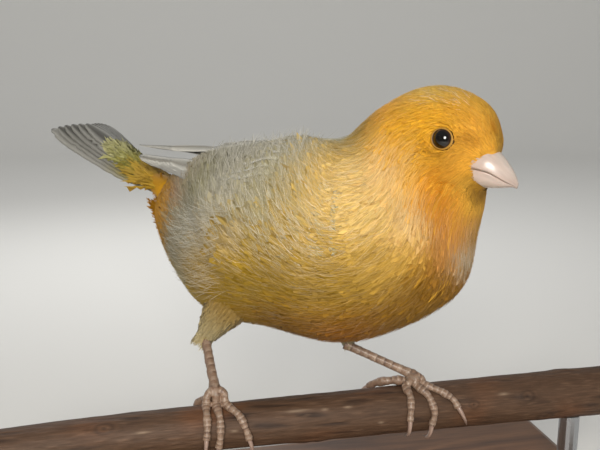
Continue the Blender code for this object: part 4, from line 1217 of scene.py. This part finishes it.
# The fleshy root of the tail: rings that narrow backward
def tailStump():
    turn = np.linspace(0, 2 * np.pi, 24, endpoint=False)
    along = np.linspace(0, 1, 8)[:, None] + 0 * turn
    wide, high, deep = tail["stump"]
    rings = tailAt(0.4 + deep * along, wide * (1 - 0.3 * along**2) * np.cos(turn),
                   0.2 + high * (1 - 0.55 * along**2) * np.sin(turn))
    flat = np.stack([0.47 + 0.02 * np.cos(turn) + 0 * along, 0.95 + 0.01 * along], axis=-1)
    tints = np.broadcast_to(linearColour(tail["stumpColour"]), rings.shape)
    return {"rings": [rings], "places": [flat], "bake": [flat], "tints": [tints]}


tailMaterial = featherMaterial("tail feather vane", 0.1, wings["barbs"])
vanePiece("tailFan", [tailVanes(), tailStump()], tailMaterial, ["tail"])


# Coverts over and under the root of the tail

tailCoverts = {
    # roots between two distances back from the rump, and their height over the fan at the places "highAt"
    "upper": {"count": 420, "length": (8, 14), "roots": (-2, 21), "wide": 1.9, "highAt": (-2, 30),
              "high": (2.0, 1.5), "lift": (0.05, 0.6), "half": 0.055, "colour": "b8901c", "far": "9c9838",
              "tip": "c8c49c"},
    "under": {"count": 640, "length": (3.2, 5.2), "roots": (-10, 1.5), "wide": 4.2, "highAt": (-8, 8),
              "high": (-8.6, -2.6), "lift": (0.05, 0.5), "half": 0.09, "colour": "b07c14", "far": "b4801c",
              "tip": "b88c28"},
    "look": {**featherLook, "cup": 0.04, "thick": 0.05, "crown": 0.2},
}


def layTailCoverts():
    material = featherMaterial("soft tail covert", 0.15)
    template = featherTemplate(4, 0.25, 0.22)
    for number, (kind, sign) in enumerate((("upper", 1), ("under", -1))):
        draw = np.random.default_rng(91 + number)
        look = tailCoverts[kind]
        count = look["count"]
        over = lambda back, across: np.interp(back, look["highAt"], look["high"]) - sign * 0.05 * across**2
        surface = lambda back, across, height=0.0: tailAt(back, across, over(back, across) + sign * height)
        run = draw.uniform(0, 1, count)
        back = mix(*look["roots"], run)
        across = draw.uniform(-1, 1, count) * look["wide"] * mix(1.0, 0.6, run)
        along = surface(back + 0.1, across + 0.02 * across) - surface(back, across)
        length = draw.uniform(*look["length"], count)
        feathers = {
            "a": back, "b": across, "way": unit(along) + draw.normal(0, 0.08, (count, 3)), "length": length,
            "half": look["half"] * length, "sunk": 0.4, "lift": draw.uniform(*look["lift"], count),
        }
        laid = layFeathers(surface, feathers, tailCoverts["look"], template, 95)
        base = mix(linearColour(look["colour"]), linearColour(look["far"]), smoothStep(2, 12, back)[:, None])
        paleness = 0.12 + 0.7 * smoothStep(7, 18, back) * (sign > 0)
        tip = mix(base, linearColour(look["tip"]), paleness[:, None])
        # the last 0.8 is painted shade toward the coverts' roots, where they overlap
        colours = featherColours(base, tip, laid, 96, 0.04, 0.03, 0.8)
        mapA, mapB = 0.5 + 0.02 * across, 0.88 + 0.003 * back + 0.03 * number
        addCoat("tailCoverts" + kind.capitalize(), laid, colours, mapA, mapB, material, "plumage_yellow")


layTailCoverts()


# Eyes and lids

eyeLook = {"ball": "0b0705", "rim": "2c1a10", "lidInner": "2e2018", "lidOuter": "a87c28"}


# Eyeball: rings of a sphere round the side axis, with the dark iris rim beyond the pupil
def makeEyeball(name, side, material):
    down = np.linspace(0, np.pi, 50)[1:-1, None]
    turn = np.linspace(0, 2 * np.pi, 64, endpoint=False)
    x, y, z = np.sin(down) * np.cos(turn), np.cos(down) + 0 * turn, np.sin(down) * np.sin(turn)
    ball = np.stack([x, side * y, z], axis=-1) * eye["radius"]
    rings = fromHead(ball + (0, side * eye["side"], 0))
    points, faces = joinTubes([rings])
    rim = smoothStep(0.62, 0.86, np.append(np.repeat(down.ravel(), 64), (0, np.pi)))
    tints = mix(linearColour(eyeLook["ball"]), linearColour(eyeLook["rim"]), rim[:, None])
    addPiece("eye" + name.capitalize(), points, faces, material, tints, replaces=["eye_" + name])


# Lid: a ring round the eye whose thickness swells toward the corners
def makeLid(name, side, material):
    around = np.linspace(0, 2 * np.pi, 64, endpoint=False)[:, None]
    tube = np.linspace(0, 2 * np.pi, 16, endpoint=False)
    thick = eye["lid"] * (1 + 0.12 * np.cos(3 * around + 1) + 0.25 * np.cos(around) ** 6)
    radius = eye["lidRing"] + thick * np.cos(tube)
    height = eye["lidSide"] + 0.8 * thick * np.sin(tube)
    ring = np.stack([radius * np.cos(around) * 1.04, side * height, radius * np.sin(around) * 0.97], axis=-1)
    points = fromHead(ring).reshape(-1, 3)
    inner = np.broadcast_to(smoothStep(-0.1, 0.9, -np.cos(tube)), (64, 16)).ravel()
    tints = mix(linearColour(eyeLook["lidOuter"]), linearColour(eyeLook["lidInner"]), inner[:, None])
    faces = turnedOut(points, [gridFaces(65, 16) % len(points)])
    addPiece("lid" + name.capitalize(), points, faces, material, tints)


# Cornea: wet, near black, with a sharp small highlight. Lid: thin, finely wrinkled skin.
def makeEyes():
    wet, *_ = tintedMaterial(
        "wet cornea", Roughness=0.04, Coat_Weight=0.4, Coat_Roughness=0.02, Specular_IOR_Level=0.4)
    skin, tree, shader, _ = tintedMaterial("eyelid skin", Roughness=0.55)
    layPattern(tree, shader, grainPattern(tree, 3.0, 3500.0), bump=(0.35, 0.1))
    for name, side in sides.items():
        makeEyeball(name, side, wet)
        makeLid(name, side, skin)


makeEyes()

# Bill: two lofted mandibles, each flat along its cutting edge and round over the other side

bill = {
    # x, culmen, cutting edge, gonys, half width, in the head's frame
    "sections": (
        (2.4, 1.7, -3.9, -8.0, 3.6),
        (4.6, 1.8, -4.0, -7.8, 3.95),
        (7.6, 1.3, -3.7, -7.3, 3.75),
        (9.4, 0.7, -3.6, -6.8, 3.35),
        (11.2, -0.3, -3.9, -6.2, 2.65),
        (12.9, -1.5, -4.3, -5.5, 1.75),
        (14.2, -2.7, -4.5, -4.95, 0.9),
        (15.1, -3.85, -4.62, -4.9, 0.22),
    ),
    "rows": 72, "columns": 40, "floorColumns": 7, "gap": -0.04, "lowerWidth": 0.93,
    "nostril": (8.3, 1.9, 0.1), "nostrilSize": 0.42, "nostrilPit": (0, 0.5, 0.35),
    # edge darkens each mandible toward its cutting edge as painted shade where the two meet
    "base": "c4b2a8", "ridge": "d4c8be", "edge": "c0aa9e", "tip": "ab988e",
}


# Bill horn: smooth and slightly translucent, with faint streaks along it
def hornMaterial():
    material, tree, shader, tint = tintedMaterial(
        "bill horn", Roughness=0.28, Coat_Weight=0.25, Coat_Roughness=0.2, Subsurface_Weight=0.15,
        Subsurface_Radius=(0.0012, 0.0006, 0.0004))
    place = addNode(tree, "ShaderNodeUVMap", {"uv_map": "horn"}).outputs["UV"]
    streaks = addNode(tree, "ShaderNodeTexNoise", Vector=place, Scale=1.0, Detail=4.0).outputs[0]
    layPattern(tree, shader, streaks, tint, (0.3, 0.7), (0.88, 1.05), (0.12, 0.2))
    return material


def makeBill():
    material = hornMaterial()
    at = np.linspace(0, len(bill["sections"]) - 1, bill["rows"])
    x, culmen, edge, gonys, width = smoothBetween(bill["sections"], at).T[:, :, None]
    turn = np.linspace(0, np.pi, bill["columns"])
    inner = np.linspace(-0.9, 0.9, bill["floorColumns"])
    rise = np.sin(turn) ** 0.85
    for name, sign in (("upper", 1), ("lower", -1)):
        flat = edge + sign * bill["gap"] / 2
        tall = (culmen if sign > 0 else gonys) - flat
        wide = np.maximum(width * (1 if sign > 0 else bill["lowerWidth"]), 0.06)
        arc = np.stack([x + 0 * turn, wide * np.cos(turn), flat + tall * rise], -1)
        floor = np.stack([x + 0 * inner, wide * inner, flat + 0.15 * tall + 0 * inner], -1)
        ring = np.concatenate([arc, floor], axis=1)
        for side in (-1, 1) if sign > 0 else ():
            mirror = np.array([1, side, 1])
            pit = np.linalg.norm(ring - bill["nostril"] * mirror, axis=-1, keepdims=True)
            ring = ring - bill["nostrilPit"] * mirror * np.exp(-((pit / bill["nostrilSize"]) ** 2))
        along = np.broadcast_to(x, ring.shape[:2])
        top = np.broadcast_to(np.append(rise, 0 * inner), ring.shape[:2])
        tints = mix(linearColour(bill["base"]), linearColour(bill["ridge"]), (0.8 * top**3)[..., None])
        # painted shade toward the cutting edge, where the mandibles meet
        tints = mix(tints, linearColour(bill["edge"]), (0.6 * (1 - smoothStep(0.0, 0.5, top)))[..., None])
        tints = mix(tints, linearColour(bill["tip"]), (0.6 * smoothStep(12.5, 15, along))[..., None])
        around = np.broadcast_to(np.append(turn, inner), ring.shape[:2])
        horn = np.stack([along * 0.35, around * 4.0], axis=-1)
        points, faces = joinTubes([fromHead(ring)])
        addPiece("bill" + name.capitalize(), points, faces, material, withEnds(tints),
                 {"horn": withEnds(horn)}, replaces=["bill_" + name])


makeBill()
print("eyes and bill made")

# Perch: a cut length of smooth branch, straight under the feet and a little crooked past them

perch = {
    "height": 36.0, "half": 76.0, "radius": 5.5, "taper": 0.0085, "straight": 34.0, "crook": (0.9, -0.7),
    "rows": 400, "columns": 150, "endRings": 9, "endBulge": 0.25, "yearRing": 0.9,
    "bark": "57402f", "ridge": "725844", "groove": "2e2018", "warm": "74492b", "scar": "98826c",
    "wood": "c9a878", "ring": "9a7448",
    # knots: place along, angle from the top toward the viewer, size in mm, height in mm
    "knots": ((47, 62, 1.6, 0.35), (52, 120, 2.0, 0.4), (-52, 40, 1.8, 0.35), (-6, 150, 2.2, 0.4),
              (6, -120, 2.0, 0.4), (-62, -70, 2.2, 0.4), (33, 70, 1.2, 0.3), (60, -20, 1.6, 0.3),
              (-40, -140, 1.8, 0.3)),
    # scars: place along, angle, length in mm
    "scars": ((-9.5, 44, 5.0), (-3.0, 47, 1.6), (2.4, 47, 1.8), (-24, 78, 1.5), (-44, 60, 3.0), (41, 52, 2.4),
              (10, 92, 1.2)),
}


# The branch's surface: angle from its top toward the viewer, and height over its bark
def perchAt(x, angle, lift):
    past = np.clip((np.abs(x) - perch["straight"]) / (perch["half"] - perch["straight"]), 0, 1) ** 2
    radius = perch["radius"] + perch["taper"] * x + lift
    aside, down = perch["crook"]
    return np.stack([x, aside * past * np.sign(x) - radius * np.sin(angle),
                     perch["height"] + down * past + radius * np.cos(angle)], axis=-1)


# Height and colour of the bark: long grain, knots with rings, and short pale scars, each a soft spot
# exp(-d^2) about its place
def barkRelief(x, angle):
    smooth = perchAt(x, angle, 0.0)
    tone = lambda key: linearColour(perch[key])
    grain = ripple(smooth * (0.10, 1, 1), 1.5, 101, 12)
    fine = ripple(smooth * (0.16, 1, 1), 0.7, 102, 12)
    swell = ripple(smooth * (0.5, 1, 1), 11, 103)
    warm = ripple(smooth, 16, 104)
    lift = -0.12 + 0.05 * grain + 0.03 * fine + 0.06 * swell
    tint = mix(tone("bark"), tone("groove"), smoothStep(0.2, 1.3, -grain)[:, None] * 0.75)
    tint = mix(tint, tone("ridge"), smoothStep(0.3, 1.4, fine)[:, None] * 0.6)
    tint = mix(tint, tone("warm"), smoothStep(0.1, 1.2, warm)[:, None] * 0.5)
    aside = lambda degrees: perch["radius"] * np.radians((np.degrees(angle) - degrees + 180) % 360 - 180)
    for place, degrees, size, height in perch["knots"]:
        d = np.hypot((x - place) / 1.5, aside(degrees))
        near = np.exp(-((d / size) ** 2))
        lift += height * near - 0.25 * np.exp(-((d / (0.35 * size)) ** 2))
        tint = mix(tint, tone("groove"), (0.7 * (0.5 + 0.5 * np.cos(d / size * 9)) * near)[:, None])
    for place, degrees, length in perch["scars"]:
        near = np.exp(-np.hypot((x - place) / (0.5 * length), aside(degrees) / 0.28) ** 2)
        lift += 0.05 * near
        tint = mix(tint, tone("scar"), (0.8 * near)[:, None])
    return lift, tint


# Twig bark: dry, with fibres 0.4 mm wide and 4 mm long
def barkMaterial():
    material, tree, shader, tint = tintedMaterial("smooth twig bark", Roughness=0.62, Specular_IOR_Level=0.35)
    fibre = grainPattern(tree, 5.0, stretch=(260.0, 2600.0, 2600.0), Roughness=0.6)
    layPattern(tree, shader, fibre, tint, (0.3, 0.7), (0.72, 1.2), (0.45, 0.3))
    layRoughness(tree, shader, fibre, 0.75, 0.45)
    return material


def makePerch():
    rows, columns = perch["rows"], perch["columns"]
    x, angle = (grid.ravel() for grid in np.meshgrid(
        np.linspace(-perch["half"], perch["half"], rows), np.linspace(0, 2 * np.pi, columns, endpoint=False),
        indexing="ij"))
    lift, tint = barkRelief(x, angle)
    rings = perchAt(x, angle, lift).reshape(rows, columns, 3)
    discs = []
    shares = np.linspace(0.97, 0.02, perch["endRings"])[:, None, None]
    years = 0.5 + 0.5 * np.cos(shares * perch["radius"] * 2 * np.pi / perch["yearRing"])
    for end in (0, -1):
        middle = rings[end].mean(axis=0)
        disc = middle + (rings[end] - middle) * shares
        disc[..., 0] += np.sign(middle[0]) * perch["endBulge"]
        discs.append(disc)
    wood = mix(linearColour(perch["wood"]), linearColour(perch["ring"]), years) * np.ones((1, columns, 1))
    rings = np.concatenate([discs[0][::-1], rings, discs[1]])
    tints = np.concatenate([wood[::-1], tint.reshape(rows, columns, 3), wood])
    points, faces = joinTubes([rings])
    addPiece("perchBranch", points, faces, barkMaterial(), withEnds(tints), replaces=["perch"])


makePerch()
print("perch made")

# Legs: tarsus, foot joint and four toes joined into one skin, with overlapping scutes, and separate claws

feet = {
    "toeRadius": 0.98, "toeLift": 1.2, "tarsusRadius": 1.12, "hindThick": 1.18, "joint": 1.6, "voxel": 0.17,
    "toeScute": 1.15, "tarsusScute": 2.1, "scuteHeight": 0.11,
    # scute lightens the raised scutes as a painted highlight; crease darkens the joints between scutes,
    # deepened as painted shade where each scute drops
    "skin": "917662", "scute": "b09a88", "creaseShade": "553f34", "pad": "866a58",
    "clawLength": 5.3, "clawRadius": 0.66, "clawArch": 0.9, "clawRoot": "a68c7e", "clawTip": "6a584e",
    # each toe: its root from the foot joint, then places along the branch and degrees from its top
    "right": {
        "outer": ((-1.75, -1.0, -0.8), ((-29.8, 14), (-29.9, 40), (-30.0, 66), (-30.3, 88))),
        "middle": ((0.1, -1.2, -0.9), ((-27.6, 14), (-27.1, 48), (-27.2, 80), (-27.6, 108))),
        "inner": ((1.95, -1.0, -0.8), ((-25.4, 16), (-22.9, 45), (-21.6, 72), (-20.8, 96))),
        "hind": ((-0.5, 1.0, -2.2), ((-28.6, -22), (-30.6, -48), (-31.6, -74), (-32.0, -92))),
    },
    "left": {
        "inner": ((-1.3, -1.9, -1.2), ((17.1, 16), (17.3, 40), (17.0, 64), (16.6, 90))),
        "middle": ((0.6, -1.7, -1.3), ((19.4, 14), (21.6, 42), (22.6, 76), (22.0, 104))),
        "outer": ((2.2, -0.7, -1.0), ((21.7, 15), (24.8, 36), (27.4, 54), (28.5, 72))),
        "hind": ((-0.7, 1.3, -2.4), ((16.4, -16), (13.8, -26), (11.6, -40), (10.4, -56))),
    },
}


# Points evenly spaced on the smooth curve through the given ones
def smoothPath(points, spacing):
    fine = smoothBetween(points, np.linspace(0, len(points) - 1, 300))
    run = np.concatenate([[0], np.cumsum(np.linalg.norm(np.diff(fine, axis=0), axis=1))])
    places = np.linspace(0, run[-1], max(4, int(run[-1] / spacing) + 1))
    return np.stack([np.interp(places, run, fine[:, axis]) for axis in range(3)], axis=1), places


# Rings along a path: radius times (cos top + sin side), top being the given way squared to the path
def tubeRings(path, radii, columns, up, flat=1.0):
    tangent = unit(np.gradient(path, axis=0))
    side = unit(np.cross(tangent, up))
    top = np.cross(side, tangent)
    turn = np.linspace(0, 2 * np.pi, columns, endpoint=False)[None, :, None]
    rings = np.cos(turn) * top[:, None] + flat * np.sin(turn) * side[:, None]
    return path[:, None] + radii[:, None, None] * rings


def overPerch(points):
    away = points - (0, 0, perch["height"])
    away[:, 0] = 0
    return unit(away)


# Joins closed tubes into one skin by a voxel remesh and a little smoothing
def joinedSkin(tubes):
    points, (quads, fans) = joinTubes(tubes)
    mesh = bpy.data.meshes.new("legForm")
    mesh.from_pydata((points * mm).tolist(), [], quads.tolist() + fans.tolist())
    holder = bpy.data.objects.new("legForm", mesh)
    bpy.context.scene.collection.objects.link(holder)
    remesh = holder.modifiers.new("join", "REMESH")
    remesh.mode = "VOXEL"
    remesh.voxel_size = feet["voxel"] * mm
    soften = holder.modifiers.new("soften", "SMOOTH")
    soften.factor, soften.iterations = 0.5, 5
    done = bpy.data.meshes.new_from_object(holder.evaluated_get(bpy.context.evaluated_depsgraph_get()))
    places, normals = np.empty(len(done.vertices) * 3), np.empty(len(done.vertices) * 3)
    corners = np.empty(len(done.loops), dtype=np.int32)
    done.vertices.foreach_get("co", places)
    done.vertices.foreach_get("normal", normals)
    done.loops.foreach_get("vertex_index", corners)
    bpy.data.objects.remove(holder)
    bpy.data.meshes.remove(mesh)
    bpy.data.meshes.remove(done)
    return places.reshape(-1, 3) / mm, normals.reshape(-1, 3), corners.reshape(-1, 4)


# Scutes: over the top of each toe and the front of the tarsus the skin rises along each scute and drops at
# its end; soles carry rounded pads. Place along the limb comes from the nearest point of its middle line.
# The raised scutes get a painted highlight, and the dark joints at each drop are deepened as painted shade.
def scutedSkin(points, normals, lines):
    middle, run, up = (np.concatenate([line[i] for line in lines]) for i in range(3))
    pitch = np.concatenate([np.full(len(line[1]), line[3]) for line in lines])
    nearest = lambda part: np.argmin(((part[:, None] - middle[None]) ** 2).sum(-1), axis=1)
    near = np.concatenate([nearest(part) for part in np.array_split(points, 60)])
    away = unit(points - middle[near])
    facing = (away * up[near]).sum(1)
    phase = (run[near] / pitch[near] + 0.06 * ripple(points, 2.2, 111)) % 1.0
    top = smoothStep(-0.15, 0.35, facing)
    scute = phase**1.5 * (1 - smoothStep(0.88, 1.0, phase))
    sole = smoothStep(0.1, 0.6, -facing)
    pads = 0.05 * ripple(points, 0.9, 112) + 0.07 * np.cos(2 * np.pi * run[near] / (1.9 * pitch[near]))
    lift = feet["scuteHeight"] * (scute - 0.35) * top + pads * sole + 0.02 * ripple(points, 0.8, 113)
    # painted highlight on the raised part of each scute
    raised = (smoothStep(0.15, 0.75, scute) * top)[:, None]
    tints = mix(linearColour(feet["skin"]), linearColour(feet["scute"]), raised * 0.8)
    # dark joint at each scute's drop, deepened as painted shade
    creaseShade = top * (1 - smoothStep(0.0, 0.16, np.minimum(phase, 1 - phase)))
    tints = mix(tints, linearColour(feet["creaseShade"]), 0.55 * creaseShade[:, None])
    tints = mix(tints, linearColour(feet["pad"]), 0.6 * sole[:, None])
    return points + normals * lift[:, None], tints * (1 + 0.08 * ripple(points, 3.0, 114))[:, None]


# Leg skin: dull horny scales over soft skin, with granules 0.3 mm across
def legMaterial():
    material, tree, shader, tint = tintedMaterial(
        "scaled leg skin", Roughness=0.42, Coat_Weight=0.15, Coat_Roughness=0.25, Subsurface_Weight=0.12,
        Subsurface_Radius=(0.0010, 0.0005, 0.0003))
    place = addNode(tree, "ShaderNodeTexCoord").outputs["Object"]
    granules = addNode(tree, "ShaderNodeTexVoronoi", Vector=place, Scale=3200.0).outputs["Distance"]
    layPattern(tree, shader, granules, tint, (0.0, 0.8), (1.06, 0.84), (0.3, 0.1), invert=True)
    return material


# Claw horn: glossy, darker toward the tip, with faint streaks
def clawMaterial():
    material, tree, shader, tint = tintedMaterial(
        "claw horn", Roughness=0.3, Coat_Weight=0.3, Coat_Roughness=0.15)
    layPattern(tree, shader, grainPattern(tree, 3.0, 1800.0), tint, greys=(0.85, 1.1))
    return material


# Tarsus: a tube from just over the heel to the foot, thicker at both ends, and the ball of the foot joint
def tarsusTubes(sizes):
    heel, foot = np.array(sizes["heel"]), np.array(sizes["foot"])
    start = heel - unit(foot - heel) * 1.2
    path, run = smoothPath(np.array([start, heel, mix(heel, foot, 0.5), foot]), 0.5)
    radii = feet["tarsusRadius"] * (1 + 0.25 * (2 * run / run[-1] - 1) ** 4)
    ahead = np.broadcast_to(unit(np.array([0.55, -0.75, 0.1])), path.shape)
    ball = np.linspace(0.05, np.pi - 0.05, 12)
    pole = np.stack([0 * ball, 0 * ball, np.cos(ball)], axis=1) * feet["joint"] + foot + (0, 0, -0.3)
    joint = tubeRings(pole, feet["joint"] * np.sin(ball), 20, np.array([0.0, 1.0, 0.0]))
    return [tubeRings(path, radii, 20, ahead, 0.9), joint], (path, run, ahead, feet["tarsusScute"])


# Toe: a tube from the foot along the branch, swollen at its three joints
def toeTube(foot, root, steps, thick):
    over = [perchAt(np.array(x), np.radians(degrees), feet["toeLift"]) for x, degrees in steps]
    path, run = smoothPath(np.array([mix(foot, foot + root, 0.3), foot + root] + over), 0.35)
    share = run / run[-1]
    radii = thick * feet["toeRadius"] * (1 - 0.2 * share) * (1 + 0.13 * np.cos(share * 6 * np.pi))
    up = overPerch(path)
    return tubeRings(path, radii, 18, up), (path, run, up, feet["toeScute"])


# Claw: it goes on round the branch from the toe's last step, arched off the bark, and tapers to a point
def clawTube(steps):
    (lastX, lastAngle), (beforeX, beforeAngle) = steps[-1], steps[-2]
    part = np.linspace(-0.1, 1, 34)
    radius = perch["radius"] + perch["taper"] * lastX + feet["toeLift"]
    turn = lastAngle + math.copysign(1, lastAngle) * math.degrees(feet["clawLength"] / radius) * part
    drift = (lastX - beforeX) / max(abs(lastAngle - beforeAngle), 1)
    rise = feet["toeLift"] + feet["clawArch"] * (np.sin(np.clip(part, 0, 1) * np.pi) - 0.5 * part)
    path = perchAt(lastX + drift * np.abs(turn - lastAngle), np.radians(turn), rise)
    radii = feet["clawRadius"] * (1 - np.clip(part, 0, 1) ** 1.3) + 0.07
    rings = tubeRings(path, radii, 16, overPerch(path), 0.72)
    dark = (smoothStep(0.2, 1.0, part) ** 1.2)[:, None, None] * np.ones((1, 16, 1))
    return rings, mix(linearColour(feet["clawRoot"]), linearColour(feet["clawTip"]), dark)


def makeLegs():
    skin, horn = legMaterial(), clawMaterial()
    for side, sizes in legs.items():
        tubes, line = tarsusTubes(sizes)
        lines, claws = [line], []
        for toe, (root, steps) in feet[side].items():
            thick = feet["hindThick"] if toe == "hind" else 1
            tube, line = toeTube(np.array(sizes["foot"]), np.array(root), steps, thick)
            tubes.append(tube)
            lines.append(line)
            claws.append(clawTube(steps))
        points, normals, faces = joinedSkin(tubes)
        points, tints = scutedSkin(points, normals, lines)
        nodes = ["tarsus_" + side] + [f"toe_{side}_{toe}" for toe in feet[side]]
        addPiece("leg" + side.capitalize(), points, turnedOut(points, [faces]), skin, tints,
                 replaces=nodes)
        points, faces = joinTubes([rings for rings, _ in claws])
        tints = np.concatenate([withEnds(dark) for _, dark in claws])
        addPiece("claws" + side.capitalize(), points, faces, horn, tints,
                 replaces=[f"claw_{side}_{toe}" for toe in feet[side]])


makeLegs()
print("legs and claws made")

# Stand: its base and rods stay as packed and get their finishes

stand = {
    "wood": ((0.3, "4a2f1e"), (0.5, "6e4a30"), (0.7, "8a6242")),  # tones by how far the grain has swept
    "steel": "b9bcc0",
}


# Oiled walnut: grain along the base, pores 0.3 mm wide, a soft satin
def woodMaterial():
    material, tree, shader = newMaterial("oiled walnut", Roughness=0.42, Coat_Weight=0.2, Coat_Roughness=0.3)
    sweep = grainPattern(tree, 6.0, stretch=(14.0, 190.0, 190.0), Distortion=1.2)
    pores = grainPattern(tree, 3.0, stretch=(120.0, 3000.0, 3000.0))
    tones = addNode(tree, "ShaderNodeValToRGB", _0=sweep)
    stops = tones.color_ramp.elements
    stops.new(0.5)
    for stop, (place, code) in zip(stops, stand["wood"]):
        stop.position = place
        stop.color = (*linearColour(code), 1)
    layPattern(tree, shader, pores, tones.outputs["Color"], (0.3, 0.6), (0.7, 1.05), (0.2, 0.1))
    return material


# Steel rod: turning marks round it, 0.1 mm apart, that break up its gloss
def steelMaterial():
    material, tree, shader = newMaterial("brushed steel rod", Metallic=1.0, Roughness=0.3)
    turning = grainPattern(tree, 2.0, stretch=(90.0, 90.0, 9000.0))
    layPattern(tree, shader, turning, tuple(linearColour(stand["steel"])), greys=(0.85, 1.05))
    layRoughness(tree, shader, turning, 0.22, 0.42)
    return material


wood, steel = woodMaterial(), steelMaterial()
for name, material in (("stand_base", wood), ("stand_rod_left", steel), ("stand_rod_right", steel)):
    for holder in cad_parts[name].material_slots:
        holder.material = material
print("stand finished")
